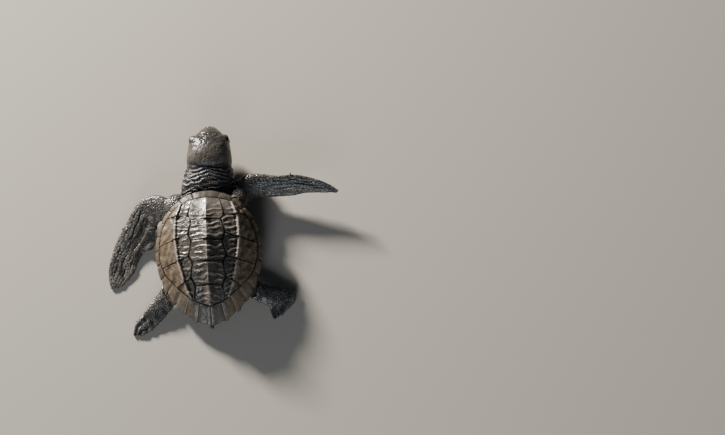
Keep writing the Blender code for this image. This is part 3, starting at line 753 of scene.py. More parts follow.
# %% [markdown]
# ## All plates
# The forty plates go through the same steps, each with its own seed, so that no two wrinkle
# alike. They stay separate pieces, as on the animal. A carved plate holds more faces than it
# needs, so it is thinned where its surface is plainest.

# %% Forty plates
PLATE_TRIANGLES = 26000


def lighten(obj, most):
    """Thins a mesh to a number of triangles."""
    if triangles(obj) > most:
        apply_modifier(obj, "DECIMATE", decimate_type="COLLAPSE", ratio=most / triangles(obj))


for count, node in enumerate(PLATES):
    kind = kind_of(node)
    plate = smooth_plate(node, kind)
    work_plate(plate, node, 40 + count * 11)
    lighten(plate, PLATE_TRIANGLES)
    finish, slot = (EDGE_HORN, "edge_scute") if kind == "edge" else (BACK_HORN, "back_scute")
    close_piece(plate, finish, (node,))
print("plates:", len(PLATES), "after %.0f s" % (time.time() - STARTED))

# %% [markdown]
# ## One skin for head, neck and front flippers
# The flesh solids stop 0.3 mm short of each other. To make one skin, the end face of one piece is
# pushed into the next, muscles are laid over the shoulders, and a voxel remesh melts everything
# into one surface. A Boolean union would keep the hard corners; remeshing rounds them like flesh.

# %% Flesh with pushed ends
HALF_GAP = 0.15
NEAR_CUT = 0.2
NECK_CUT = -31.0
BEAK_CUT = -43.45
WRIST_LEFT = ((25.0, -17.0, 3.6), (0.80, 0.60, -0.10))
WRIST_RIGHT = ((-19.8, -25.0, 6.2), (-1.0, 0.02, 0.0))
END_PUSH = 0.55
HEAD_PUSH = 0.28


def facing_back(cut):
    """The same cut for the piece on its other side."""
    place, way = cut
    return place, tuple(-c for c in way)


FRONT_CUTS = {
    "head": [((0, BEAK_CUT, 0), (0, -1, 0)), ((0, NECK_CUT - HALF_GAP, 0), (0, 1, 0))],
    "neck": [((0, NECK_CUT + HALF_GAP, 0), (0, -1, 0))],
    "arm_front_left": [WRIST_LEFT],
    "flipper_front_left": [facing_back(WRIST_LEFT)],
    "arm_front_right": [WRIST_RIGHT],
    "flipper_front_right": [facing_back(WRIST_RIGHT)],
}


def on_cut(co, cut):
    """Whether a point lies in the plane of a cut."""
    place, way = cut
    return abs((co - Vector(place)).dot(Vector(way).normalized())) < NEAR_CUT


def flesh_crease(edge, cuts):
    """Cut ends stay sharp, other strong folds half so."""
    if any(all(on_cut(v.co, cut) for v in edge.verts) for cut in cuts):
        return 1.0
    return 0.5 if is_fold(edge, 75) else 0.0


def smooth_flesh(node, cuts=(), push=END_PUSH):
    """A smoothed copy of a flesh solid, with its cut ends pushed out past their planes."""
    obj = working_copy(node, "flesh_" + node)
    crease_edges(obj, lambda edge: flesh_crease(edge, cuts))
    subdivide(obj, 2)
    co = points(obj)
    for place, way in cuts:
        way = np.array(Vector(way).normalized())
        at_cut = np.abs((co - np.array(place)) @ way) < NEAR_CUT
        co[at_cut] += way * push
    put_points(obj, co)
    return obj


print("cut ends of the front flesh:", sum(len(cuts) for cuts in FRONT_CUTS.values()))

# %% [markdown]
# ## Muscles under the skin
# Breast and shoulders bulge between shell and neck, and three lobes of loose skin fill the bend
# of the left front limb. The solids stay plain there, so these masses are spheres, stretched,
# turned and placed. Extruding them from the limbs would leave edges, which spheres don't have.

# %% Muscles
# name, centre, radii, turn about the vertical
MUSCLES = [("breast", (-0.2, -17.6, 5.3), (12.6, 4.8, 3.7), 0.0),
           ("shoulder_left", (10.6, -19.2, 6.3), (4.6, 4.4, 3.0), 0.5),
           ("shoulder_right", (-10.2, -20.6, 6.8), (3.9, 5.0, 3.1), -0.2),
           ("elbow_lobe_1", (19.3, -16.4, 4.3), (1.9, 2.0, 1.0), 0.5),
           ("elbow_lobe_2", (19.6, -12.6, 3.2), (2.1, 1.5, 0.70), 0.3),
           ("elbow_lobe_3", (21.2, -8.2, 1.75), (2.6, 3.3, 0.55), 0.15)]


def ball(name, radius, segments, rings):
    """A sphere at the origin."""
    bpy.ops.object.select_all(action="DESELECT")
    bpy.ops.mesh.primitive_uv_sphere_add(segments=segments, ring_count=rings, radius=radius)
    obj = bpy.context.active_object
    obj.name = name
    obj.data.name = name
    return obj


def muscle(name, centre, radii, turn):
    """A rounded mass, from a sphere that is stretched, turned and placed."""
    obj = ball(name, 1.0, 32, 20)
    place = Matrix.Translation(centre) @ Matrix.Rotation(turn, 4, "Z")
    obj.data.transform(place @ Matrix.Diagonal((*radii, 1.0)))
    return obj


print("muscles and lobes:", [name for name, *_ in MUSCLES])

# %% [markdown]
# ## Eyelids
# Each eye is wrapped by an upper and a lower lid of some thickness. A lid is a sphere a little
# larger than the eye, cut by a slanting plane, given a wall by Solidify, and melted into the skin
# with the rest. Lids could be carved into the head, but then they couldn't stand over the eye.

# %% Eyelids
LID_GAP = 0.12
LID_WALL = 0.42
LID_LIFT = {"upper": 40, "lower": 34}


def eye_place(word):
    """The middle of an eye's solid, in mm."""
    low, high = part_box("eye_" + word)
    return (np.array(low) + np.array(high)) / 2 / MM


EYES = {"left": eye_place("left"), "right": eye_place("right")}
EYE_RADIUS = (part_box("eye_left")[1][2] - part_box("eye_left")[0][2]) / 2 / MM
HEAD_SIDE = float(EYES["left"][0] + EYES["right"][0]) / 2


def eyelid(word, part):
    """A curved lid that wraps the upper or lower part of an eye."""
    side = 1.0 if word == "left" else -1.0
    up = 1.0 if part == "upper" else -1.0
    lift = math.radians(LID_LIFT[part])
    obj = ball("lid_%s_%s" % (word, part), EYE_RADIUS + LID_GAP, 48, 32)
    bpy.ops.object.mode_set(mode="EDIT")
    bpy.ops.mesh.select_all(action="SELECT")
    way = (-side * math.sin(lift), -0.10 * up, up * math.cos(lift))
    bpy.ops.mesh.bisect(plane_co=(0, 0, 0.06), plane_no=way, clear_inner=True)
    bpy.ops.object.mode_set(mode="OBJECT")
    apply_modifier(obj, "SOLIDIFY", thickness=LID_WALL, offset=1.0)
    obj.data.transform(Matrix.Translation(Vector(EYES[word])))
    return obj


print("eye radius %.2f mm, middle of the head at x = %.2f mm" % (EYE_RADIUS, HEAD_SIDE))

# %% [markdown]
# ## Melting the front flesh
# All these forms overlap, and the animal shows one unbroken skin. Sewing them together by bridges
# would take a careful hand at every joint. The voxel remesh keeps only the outer surface, and a
# voxel of 0.16 mm still holds an eyelid.

# %% Front flesh in one mesh
SKIN_VOXEL = 0.16


def join(parts, name):
    """One object from several."""
    bpy.ops.object.select_all(action="DESELECT")
    for obj in parts:
        obj.select_set(True)
    bpy.context.view_layer.objects.active = parts[0]
    bpy.ops.object.join()
    parts[0].name = name
    parts[0].data.name = name
    return parts[0]


def front_flesh():
    """Head, neck, arms, front flippers, muscles and lids as one skin."""
    parts = [smooth_flesh(node, cuts, HEAD_PUSH if node == "head" else END_PUSH)
             for node, cuts in FRONT_CUTS.items()]
    parts += [muscle(*shape) for shape in MUSCLES]
    parts += [eyelid(word, part) for word in EYES for part in LID_LIFT]
    flesh = join(parts, "skin_front")
    melt(flesh, SKIN_VOXEL, 4)
    return flesh


FRONT = front_flesh()

# %% [markdown]
# ## Where things are on the flippers
# Scales are largest along a flipper's front edge and smallest at its rear edge. Each flipper gets
# two lines, one down each edge, and a point's place is measured from both. An unwrapped map would
# give such places too, but it has seams, and these lines have none.

# %% Lines along the flippers
LEFT_LEAD = [(12.6, -21.6, 6.7), (16.6, -23.9, 6.3), (21.4, -23.5, 5.4), (25.4, -20.3, 4.3),
             (28.2, -15.4, 3.1), (32.2, -8.8, 1.9), (34.8, -1.4, 1.1), (35.3, 4.0, 0.6),
             (34.4, 7.6, 0.45)]
LEFT_TRAIL = [(14.6, -14.0, 4.6), (16.6, -14.6, 3.9), (17.8, -13.0, 3.0), (18.4, -11.0, 2.3),
              (19.2, -8.0, 1.7), (22.8, -4.2, 1.0), (25.4, 0.2, 0.7), (27.6, 4.4, 0.5),
              (31.6, 7.4, 0.4)]
RIGHT_LEAD = [(-10.6, -27.4, 7.4), (-14.6, -29.2, 8.6), (-19.0, -28.6, 9.3), (-24.6, -27.5, 9.7),
              (-30.6, -27.6, 9.9), (-36.4, -26.2, 9.6), (-42.0, -24.1, 8.8), (-45.6, -21.6, 7.9)]
RIGHT_TRAIL = [(-12.8, -17.0, 5.0), (-15.6, -20.9, 4.2), (-19.2, -22.0, 3.4), (-23.6, -22.0, 3.2),
               (-28.6, -21.8, 3.8), (-34.6, -21.9, 4.8), (-40.4, -21.5, 6.0), (-44.6, -20.7, 7.0)]


def along(p, line):
    """Distance from each point to a line of corners, and how far along the line it is, 0 to 1."""
    line = np.array(line, float)
    seg = np.diff(line, axis=0)
    length = np.linalg.norm(seg, axis=1)
    run = np.concatenate([[0.0], np.cumsum(length)])
    best = np.full(len(p), 1e9)
    where = np.zeros(len(p))
    for k in range(len(seg)):
        t = np.clip(((p - line[k]) @ seg[k]) / length[k] ** 2, 0, 1)
        d = np.linalg.norm(p - line[k] - t[:, None] * seg[k], axis=1)
        closer = d < best
        best = np.where(closer, d, best)
        where = np.where(closer, (run[k] + t * length[k]) / run[-1], where)
    return best, where


def flipper_place(p, lead, trail):
    """Across a flipper (0 front edge, 1 rear edge), along it (0 root, 1 tip), width and length."""
    a, run = along(p, lead)
    b, _ = along(p, trail)
    length = np.linalg.norm(np.diff(np.array(lead, float), axis=0), axis=1).sum()
    return a / (a + b + 1e-6), run, a + b, np.full(len(p), length)


for name, lead, trail in (("left", LEFT_LEAD, LEFT_TRAIL), ("right", RIGHT_LEAD, RIGHT_TRAIL)):
    print("%s front flipper: %.1f mm long" % (name, flipper_place(np.zeros((1, 3)), lead, trail)[3][0]))

# %% [markdown]
# ## Grooves between the fingers
# The bones of the fingers run down inside a flipper, and the skin sinks a little beside them.
# The grooves could be cut at even spacing, but fingers aren't even: each groove has its own place
# and depth, wanders, and fades in places.

# %% Finger grooves
# place across the flipper, depth
FINGERS = [(0.20, 0.6), (0.36, 1.0), (0.50, 0.7), (0.64, 0.8), (0.80, 0.6)]
FINGER_WIDTH = 0.028


def finger_grooves(p, across, seed):
    """How much each point belongs to a groove between two fingers, 0 to 1."""
    total = np.zeros(len(p))
    for k, (place, depth) in enumerate(FINGERS):
        wander = 0.035 * ripple(p, 7.0, seed + 3 * k) + 0.010 * ripple(p, 1.8, seed + 3 * k + 1)
        fade = soft_step(-0.5, 0.5, ripple(p, 5.0, seed + 3 * k + 2))
        line = bump(across, place + wander, FINGER_WIDTH)
        total = np.maximum(total, depth * (0.25 + 0.75 * fade) * line)
    return total


print("finger grooves:", len(FINGERS))

# %% [markdown]
# ## The plates of the head
# The head of this species has a large plate on the crown, two pairs between nostrils and brow,
# and rows behind and under the eye. Scattered seeds would give scales of one size, so these are
# listed for one side and mirrored, each with its own size. Larger ones claim more surface.

# %% Head plates
# x, y, z, size
CROWN = [(0.0, -43.3, 11.9, 0.70), (0.0, -41.3, 13.3, 1.10), (0.0, -38.0, 14.9, 2.20),
         (0.0, -34.4, 15.0, 0.95), (0.0, -42.6, 4.4, 1.30), (0.0, -38.8, 3.1, 1.60),
         (0.0, -35.0, 2.7, 1.60)]
PAIRED = [(1.15, -44.0, 11.2, 0.75), (1.75, -42.5, 12.3, 0.95), (3.9, -41.2, 12.4, 1.20),
          (3.5, -38.6, 14.4, 1.35), (2.5, -35.2, 15.0, 1.55), (5.3, -36.4, 13.7, 1.50),
          (4.8, -33.6, 14.0, 1.30), (1.6, -32.7, 14.5, 1.0), (6.9, -38.2, 11.9, 1.15),
          (7.5, -37.6, 9.5, 1.15), (7.2, -38.5, 7.2, 1.10), (7.6, -35.4, 11.0, 1.30),
          (7.9, -34.6, 8.4, 1.40), (7.6, -35.6, 5.9, 1.30), (6.3, -41.2, 6.3, 1.10),
          (5.2, -43.0, 6.7, 0.95), (5.0, -42.9, 9.6, 0.80), (6.2, -39.5, 4.9, 1.20),
          (5.8, -37.0, 3.5, 1.50), (3.2, -41.0, 4.2, 1.30), (3.0, -37.5, 2.9, 1.70),
          (5.0, -34.0, 3.1, 1.50), (7.8, -32.8, 10.2, 1.10), (7.9, -32.6, 6.6, 1.10),
          (2.4, -34.0, 2.7, 1.30)]
HEAD_PLATES = np.array(CROWN + [(s * x, y, z, size) for x, y, z, size in PAIRED for s in (1, -1)])


def head_pattern(p):
    """Distance past the nearest seam between head plates, and the tone of each plate."""
    sizes = HEAD_PLATES[:, 3]
    seeds = HEAD_PLATES[:, :3] + np.array([HEAD_SIDE, 0, 0])
    away = np.linalg.norm(p[:, None] - seeds[None], axis=2) / sizes
    order = np.argsort(away, axis=1)[:, :2]
    first = np.take_along_axis(away, order[:, :1], 1)[:, 0]
    second = np.take_along_axis(away, order[:, 1:], 1)[:, 0]
    tone = np.random.default_rng(9).uniform(-1, 1, len(sizes))[order[:, 0]]
    return (second - first) * sizes[order[:, 0]], tone


print("plates of the head:", len(HEAD_PLATES))

# %% [markdown]
# ## Scales as cells
# Small scales of reptile skin pack like soap bubbles: each point belongs to the nearest seed, and
# a groove runs where two seeds are equally near. A cell texture does this too, but only for
# colour and bump. Seeds are scattered over the surface itself, no closer than one scale apart,
# then each moves once to the middle of its own patch.

# %% Scattering seeds and measuring cells
CLOSEST = 0.82


def scatter(p, gap, seed):
    """Picks points of the surface that keep a distance from each other."""
    rng = np.random.default_rng(seed)
    kept_places, taken = [], {}
    key = np.floor(p / gap).astype(int)
    near = [(i, j, k) for i in (-1, 0, 1) for j in (-1, 0, 1) for k in (-1, 0, 1)]
    reach = (CLOSEST * gap) ** 2
    for n in rng.permutation(len(p)):
        a, b, c = key[n]
        x, y, z = p[n]
        around = (q for i, j, k in near for q in taken.get((a + i, b + j, c + k), ()))
        if all((q[0] - x) ** 2 + (q[1] - y) ** 2 + (q[2] - z) ** 2 >= reach for q in around):
            taken.setdefault((a, b, c), []).append((x, y, z))
            kept_places.append((x, y, z))
    return np.array(kept_places)


def settle(p, seeds):
    """Moves each seed to the middle of the points that belong to it."""
    tree = tree_of(seeds)
    own = np.array([tree.find(q)[1] for q in p])
    total = np.zeros((len(seeds), 3))
    np.add.at(total, own, p)
    count = np.bincount(own, minlength=len(seeds))[:, None]
    return np.where(count > 0, total / np.maximum(count, 1), seeds)


def cell_pattern(p, seeds):
    """For each point: distance past the nearest seam, and a random tone of its cell."""
    tree = tree_of(seeds)
    shade = np.random.default_rng(5).uniform(-1, 1, len(seeds))
    pairs = [tree.find_n(q, 2) for q in p]
    inset = np.array([second[2] - first[2] for first, second in pairs])
    return inset, shade[[first[1] for first, _ in pairs]]


print("two scales are at least %.2f of a gap apart" % CLOSEST)

# %% [markdown]
# ## Scales of the front skin
# Scales are finest on the neck and grow towards the leading edges of the flippers, where they
# stand in long rows. Seeds could be stretched one by one; it is easier to move the points into a
# flattened flipper, scatter there, and let the cells come out long.

# %% Seeds for the small scales
BLADE_FROM = 0.27
BLADE_SQUEEZE = 0.62
FAR = np.array([0.0, 0.0, 200.0])
NECK_GAP = 0.62
# from and to across a flipper, gap between scales
LIMB_GAPS = [(0.0, 0.30, 1.15), (0.30, 0.55, 0.85), (0.55, 9.0, 0.70)]


def regions(p):
    """Soft weights of head, neck and limbs over the front skin."""
    head = 1 - soft_step(-32.4, -31.0, p[:, 1])
    limb = soft_step(9.2, 11.0, np.abs(p[:, 0]))
    return head, (1 - head) * (1 - limb), limb * (1 - head)


def stretched(p, n, limb, place):
    """Points moved so that scales measured among them come out long along a flipper."""
    across, run, width, length = place
    side = 1.3 * n[:, 2] + 60 * np.sign(p[:, 0])
    flat = np.stack([across * width, run * length * BLADE_SQUEEZE, side], -1)
    blade = (limb > 0.5) & (run > BLADE_FROM)
    return np.where(blade[:, None], flat + FAR, p)


def front_scales(p, n, head, neck, limb):
    """Seeds of the scales, each point's place on its flipper, and the moved points."""
    left = flipper_place(p, LEFT_LEAD, LEFT_TRAIL)
    right = flipper_place(p, RIGHT_LEAD, RIGHT_TRAIL)
    place = [np.where(p[:, 0] > 0, a, b) for a, b in zip(left, right)]
    across = place[0]
    q = stretched(p, n, limb, place)
    bands = [(neck > 0.5, NECK_GAP)]
    for low, high, gap in LIMB_GAPS:
        bands.append(((limb > 0.5) & (across >= low) & (across < high), gap))
    found = [scatter(q[where], gap, 70 + k) for k, (where, gap) in enumerate(bands)]
    return settle(q[head < 0.5], np.vstack(found)), place, q


print("widest scales: %.2f mm, finest: %.2f mm" % (LIMB_GAPS[0][2], NECK_GAP))

# %% [markdown]
# ## Folds of the neck
# The neck is thrown into cross folds while the head is raised, with a deep crease behind the
# crown. Two sets of folds slant against each other, and where one fades the other takes over, so
# they meet in forks, as folds of real skin do. One set alone would look like a concertina.

# %% Neck folds
# slant, distance between folds
FIRST_FOLDS = (-0.20, 1.45)
SECOND_FOLDS = (0.24, 1.30)


def fold_set(p, arc, bend, slant, gap):
    """Narrow crests across the neck, at a slant and a distance from each other."""
    return 1 - np.abs(np.sin(math.pi * ((arc + slant * p[:, 0]) / gap + bend))) ** 0.7


def neck_folds(p, neck):
    """The folds of the neck, and the crease behind the crown."""
    side = (p[:, 0] - HEAD_SIDE) / 7.5
    arc = p[:, 1] + 1.5 * side ** 2 * soft_step(-20.0, -31.0, p[:, 1])
    bend = 0.34 * ripple(p, 8.0, 21) + 0.16 * ripple(p, 2.6, 22, (0.6, 1.0, 1.0))
    share = soft_step(-0.5, 0.5, ripple(p, 6.0, 20))
    one = fold_set(p, arc, bend, *FIRST_FOLDS) * (0.35 + 0.65 * share)
    other = fold_set(p, arc, bend, *SECOND_FOLDS) * (1.0 - 0.65 * share)
    fold = (np.maximum(one, other) - 0.36) * neck * soft_step(-31.9, -30.4, arc)
    crease = bump(arc, -31.2, 0.62) * soft_step(6.0, 9.0, p[:, 2])
    return fold, crease


print("neck folds lie %.2f and %.2f mm apart" % (FIRST_FOLDS[1], SECOND_FOLDS[1]))

# %% [markdown]
# ## Mouth, brow and elbow
# The corner of the mouth runs on from the beak to below the eye. A brow hangs over each eye, with
# a hollow in front of it, and the lobes inside the left elbow stay smooth. These few features are
# soft shapes at known places, so a formula for each is shorter than modelling them.

# %% Single features of the front skin
# place from the eye, size each way, height; the lore is the hollow in front of the eye
BROW = ((-0.9, 0.3, 1.9), (1.4, 2.2, 1.3), 0.34)
LORE = ((-0.4, -2.0, 0.3), (1.5, 0.9, 1.6), -0.26)
LID_SCALES = 13
# x, y, half width, half length
LOBES = [(19.3, -16.4, 2.1, 2.1), (19.6, -12.6, 2.2, 1.6), (21.0, -8.2, 2.6, 3.3)]


def mouth_line(p):
    """The corner of the mouth, as a line that rises at its end."""
    rise = 0.10 * np.clip(p[:, 1] + 40.6, 0, None) ** 2
    line = 7.0 - 0.14 * (p[:, 1] + 43.6) + rise
    beside = np.abs(p[:, 0] - HEAD_SIDE) > 2.5
    return bump(p[:, 2], line, 0.17) * soft_step(-38.6, -39.6, p[:, 1]) * beside


def elbow_lobes(p):
    """How much a point belongs to the smooth lobes of loose skin inside the left elbow."""
    total = np.zeros(len(p))
    for x, y, wide, long in LOBES:
        away = ((p[:, 0] - x) / wide) ** 2 + ((p[:, 1] - y) / long) ** 2
        total = np.maximum(total, np.exp(-away ** 2))
    return total * (p[:, 2] > 0.5)


def carve_eyes(p, height):
    """Calms the skin beside the eyes, and adds the rim of the lids, the brow and the hollow."""
    for eye in EYES.values():
        away = np.linalg.norm(p - eye, axis=1)
        height = height * (1 - 0.7 * bump(away, EYE_RADIUS + 0.3, 0.5))
        turn = np.arctan2(p[:, 2] - eye[2], p[:, 1] - eye[1])
        rim = bump(away, EYE_RADIUS + 0.75, 0.28) * (0.75 + 0.25 * np.cos(turn * LID_SCALES))
        height = height + 0.14 * rim
        mirror = np.array([np.sign(eye[0] - HEAD_SIDE), 1.0, 1.0])
        for place, size, lift in (BROW, LORE):
            far = np.linalg.norm((p - eye - np.array(place) * mirror) / np.array(size), axis=1)
            height = height + lift * np.exp(-far ** 2)
    return height


print("brow %.2f mm high, hollow %.2f mm deep" % (BROW[2], -LORE[2]))

# %% [markdown]
# ## Patterns of the front skin
# As with the plates, everything is worked out once and used twice. Folds are large and scales
# small, so both can be added up without hiding each other. The blade is the flat part of a
# flipper, beyond the elbow.

# %% Front patterns
def front_patterns(p, n):
    """Everything that relief and colour of the front skin are mixed from."""
    f = SimpleNamespace()
    f.head, f.neck, f.limb = regions(p)
    f.right = p[:, 0] < 0
    seeds, place, q = front_scales(p, n, f.head, f.neck, f.limb)
    inset, f.scale_tone = cell_pattern(q, seeds)
    f.across, run = place[0], place[1]
    plate_inset, f.plate_tone = head_pattern(p)
    f.fold, f.crease = neck_folds(p, f.neck)
    f.dome = soft_step(0.02, 0.30, inset)
    f.shelf = soft_step(0.02, 0.26, plate_inset)
    f.lobes = elbow_lobes(p)
    f.blade = f.limb * soft_step(0.24, 0.40, run)
    f.swell = ripple(q, 3.2, 30, (1.0, 0.42, 0.0)) * f.blade
    f.groove = finger_grooves(p, f.across, 25) * f.blade * (1 - 0.8 * f.lobes)
    elbow = f.limb * bump(run, 0.24, 0.13) * soft_step(0.45, 0.75, f.across) * f.right
    pleat = np.abs(np.sin(math.pi * (run * 13.0 + 0.35 * ripple(p, 4.0, 45)))) ** 0.6 - 0.6
    f.loose = elbow * pleat
    f.streaks = ripple(p, 0.95, 31, (1.0, 0.45, 1.0))
    f.back = soft_step(-40.5, -35.5, p[:, 1])
    f.mouth = f.head * mouth_line(p)
    return f


P, N = points(FRONT), point_normals(FRONT)
F = front_patterns(P, N)
print("front skin: %.0f %% is head" % (100 * F.head.mean()))

# %% [markdown]
# ## Carving the front skin
# The head gets low plates with fine streaks, the neck folds with small scales, and the flippers
# larger scales with a soft swell and grooves under them. The eyes come last, because they calm
# what lies around them.

# %% Relief of the front skin
def front_height(p, f):
    """How far each point of the front skin moves, in mm."""
    depth = 0.09 * f.neck
    depth = depth + f.limb * (0.13 - 0.03 * f.across - 0.035 * f.blade) * (1 - 0.75 * f.lobes)
    height = 0.40 * f.fold - 0.24 * f.crease + depth * (f.dome - 0.55)
    height += (0.17 + 0.09 * f.right) * f.swell * soft_step(0.15, 0.5, f.across)
    height += (0.020 + 0.016 * f.limb) * ripple(p, 0.9, 23) * (1 - f.head)
    height += f.head * (0.075 * (f.shelf - 0.75) + 0.05 * ripple(p, 4.5, 24))
    height += f.head * ((0.06 - 0.04 * f.back) * f.streaks + 0.026 * ripple(p, 0.55, 33))
    height += 0.34 * f.loose - 0.26 * f.mouth - 0.30 * f.groove
    return np.clip(carve_eyes(p, height), -0.5, 0.42)


HEIGHT = front_height(P, F)
carve(FRONT, P, N, HEIGHT)
print("front skin carved from %.2f to %.2f mm" % (HEIGHT.min(), HEIGHT.max()))

# %% [markdown]
# ## Look of the front skin
# Crests and scales are painted paler than the seams between them: painted highlight on the crests,
# painted shade in seams, fold valleys and the crease behind the crown. The swells of the right
# flipper get an extra painted highlight. The crown is browner, and the rear edge of each flipper is
# pale. The snout is wet and shines, the crown is nearly dry, and the crease behind it hardly shines.
# A painted gloss map could say this too, but the crease's place is known already. The finished skin
# is thinned and closed.

# %% Colour values and gloss of the front skin
FRONT_TRIANGLES = 192000


def front_look(obj, p, f):
    """Keeps relief, tint, tone and wet for the front skin."""
    # Painted highlight on fold and scale crests; painted shade in valleys, seams and the crease.
    relief = 0.42 + 0.55 * f.fold - 0.25 * f.crease + 0.36 * (f.dome - 0.55) * (1 - f.head)
    relief += f.head * (0.24 * (f.shelf - 0.8) - 0.09 + 0.15 * f.back + 0.06 * f.streaks)
    relief += f.limb * (0.18 + 0.08 * soft_step(0.2, 0.6, f.across)) + 0.10 * ripple(p, 1.1, 27)
    # Only the right flipper's swells get paler, a painted highlight; finger grooves get painted shade.
    relief += 0.12 * f.swell * f.right - 0.45 * f.groove + 0.4 * f.loose - 0.5 * f.mouth
    pale_edge = f.limb * soft_step(0.86, 1.0, f.across)
    pale_edge = pale_edge * soft_step(0.1, 0.5, ripple(p, 3.0, 28) + 0.6)
    crown = f.head * (0.10 + 0.62 * f.back) * soft_step(7.0, 12.5, p[:, 2])
    crown = crown * (0.85 + 0.25 * ripple(p, 4.0, 29))
    greyer = 0.50 * f.limb * soft_step(0.25, 0.75, f.across)
    tint = np.maximum.reduce([pale_edge, crown, greyer, 0.08 * f.head, 0.5 * f.lobes])
    tone = (1 - f.head) * f.scale_tone + 0.4 * f.head * f.plate_tone
    patchy = 0.72 + 0.6 * ripple(p, 2.8, 32)
    wet = np.where(f.head > 0.5, 0.85 - 0.65 * f.back, patchy * (0.40 + 0.60 * f.limb))
    set_look(obj, relief, tint, tone, wet * (1 - 0.8 * bump(p[:, 1], -31.4, 1.0)))


front_look(FRONT, P, F)
lighten(FRONT, FRONT_TRIANGLES)
close_piece(FRONT, SKIN, tuple(FRONT_CUTS))
print("front skin after %.0f s" % (time.time() - STARTED))

# %% [markdown]
# ## Hind flippers and tail
# The rear skin is made the same way. A low saddle of soft skin joins both hind limbs and the tail
# under the shell, where the real animal has the loose skin that lets the limbs swing. Three
# separate skins would be less work, but would leave the limbs without a root.

# %% Rear flesh
HIND_LEFT_LEAD = [(14.0, 5.5, 3.6), (19.2, 11.6, 2.8), (23.3, 16.6, 1.6), (26.6, 20.9, 0.75),
                  (27.2, 24.0, 0.45)]
HIND_LEFT_TRAIL = [(8.5, 10.0, 3.4), (12.4, 15.0, 2.6), (16.4, 19.2, 1.4), (19.8, 22.5, 0.65),
                   (24.2, 24.6, 0.4)]
HIND_RIGHT_LEAD = [(-12.0, 4.5, 3.9), (-19.0, 9.4, 3.3), (-28.2, 11.6, 2.0), (-28.8, 15.6, 0.85),
                   (-24.2, 19.4, 0.45)]
HIND_RIGHT_TRAIL = [(-9.8, 11.4, 3.6), (-16.2, 15.2, 2.8), (-19.8, 16.6, 1.5), (-19.8, 18.6, 0.7),
                    (-21.0, 21.2, 0.4)]
REAR_NODES = ("flipper_hind_left", "flipper_hind_right", "tail")


def rear_flesh():
    """Hind flippers, tail and saddle as one skin."""
    parts = [smooth_flesh(node) for node in REAR_NODES]
    parts.append(muscle("saddle", (0.0, 13.6, 3.3), (12.2, 5.4, 1.9), 0.0))
    flesh = join(parts, "skin_rear")
    melt(flesh, SKIN_VOXEL, 5)
    return flesh


REAR = rear_flesh()

# %% [markdown]
# ## Carving the rear skin
# The hind flippers are short paddles: larger scales in front, small ones behind, and a few soft
# ridges where the toes are. The steps are those of the front skin, in one function, because
# there is neither head nor neck to tell apart.

# %% Relief and look of the rear skin
TOES = 2.6


def carve_rear(obj):
    """Scales, toes and colour of the rear skin."""
    p, n = points(obj), point_normals(obj)
    left = flipper_place(p, HIND_LEFT_LEAD, HIND_LEFT_TRAIL)
    right = flipper_place(p, HIND_RIGHT_LEAD, HIND_RIGHT_TRAIL)
    across, run = [np.where(p[:, 0] > 0, a, b) for a, b in zip(left[:2], right[:2])]
    limb = soft_step(7.0, 10.0, np.abs(p[:, 0]))
    found = [scatter(p[across < 0.4], 1.0, 80), scatter(p[across >= 0.4], 0.72, 81)]
    inset, tone = cell_pattern(p, settle(p, np.vstack(found)))
    dome = soft_step(0.02, 0.30, inset)
    toes = np.sin(across * 2 * math.pi * TOES + 0.6 * ripple(p, 5.0, 83))
    toes = toes * soft_step(0.45, 0.85, run) * limb
    height = (0.12 - 0.04 * across) * (dome - 0.55) + 0.02 * ripple(p, 0.9, 82)
    height += 0.16 * toes + 0.10 * ripple(p, 2.6, 85) * limb
    carve(obj, p, n, np.clip(height, -0.35, 0.35))
    # Painted shade in the seams between scales, and a painted highlight on the toe ridges.
    relief = 0.56 + 0.40 * (dome - 0.55) + 0.15 * toes + 0.1 * ripple(p, 1.1, 84)
    pale = 0.8 * limb * soft_step(0.86, 1.0, across)
    grey = 0.3 * limb * soft_step(0.4, 0.8, across)
    wet = 0.74 + 0.5 * ripple(p, 2.4, 86)
    set_look(obj, relief, tint=np.maximum(pale, grey), tone=tone, wet=wet)


carve_rear(REAR)
close_piece(REAR, SKIN, REAR_NODES)

# %% [markdown]
# ## Beak
# The beak is a hard sheath over both jaws, smoother than skin, with two nostrils near its tip.
# Its rear is pushed into the head, so that the skin closes round it. It could be part of the
# skin, but a sheath has an edge of its own, so both halves are melted by themselves.

# %% Both halves of the beak
BEAK_ROOT = -43.9
ROOT_PUSH = 0.35
BEAK_VOXEL = 0.10
NOSTRILS = [(0.55, -46.1, 9.9), (-0.55, -46.1, 9.9)]
LIP_HEIGHT = 7.0
BEAK_WET = 0.7


def beak(node, name, nostrils=()):
    """One half of the beak."""
    obj = working_copy(node, name)
    crease_edges(obj, lambda edge: 0.7 if is_fold(edge, 55) else 0.0)
    subdivide(obj, 1)
    co = points(obj)
    co[:, 1] += ROOT_PUSH * (co[:, 1] > BEAK_ROOT)
    put_points(obj, co)
    melt(obj, BEAK_VOXEL, 6)
    p, n = points(obj), point_normals(obj)
    pit = np.zeros(len(p))
    for x, y, z in nostrils:
        away = np.linalg.norm(p - np.array([x + HEAD_SIDE, y, z]), axis=1)
        pit = np.maximum(pit, bump(away, 0, 0.30))
    height = 0.03 * ripple(p, 1.4, 91) + 0.012 * ripple(p, 0.5, 92) - 0.32 * pit
    carve(obj, p, n, height)
    lip = bump(p[:, 2], LIP_HEIGHT, 0.35)
    # Raised places painted paler and nostril pits darker: painted highlight and painted shade.
    relief = 0.55 + 1.6 * height - 0.5 * pit - 0.3 * lip
    brown = lip + 0.3 * ripple(p, 2.0, 93)
    set_look(obj, relief, tint=brown, tone=0.6 * ripple(p, 2.2, 94), wet=BEAK_WET)
    close_piece(obj, BEAK_HORN, (node,))


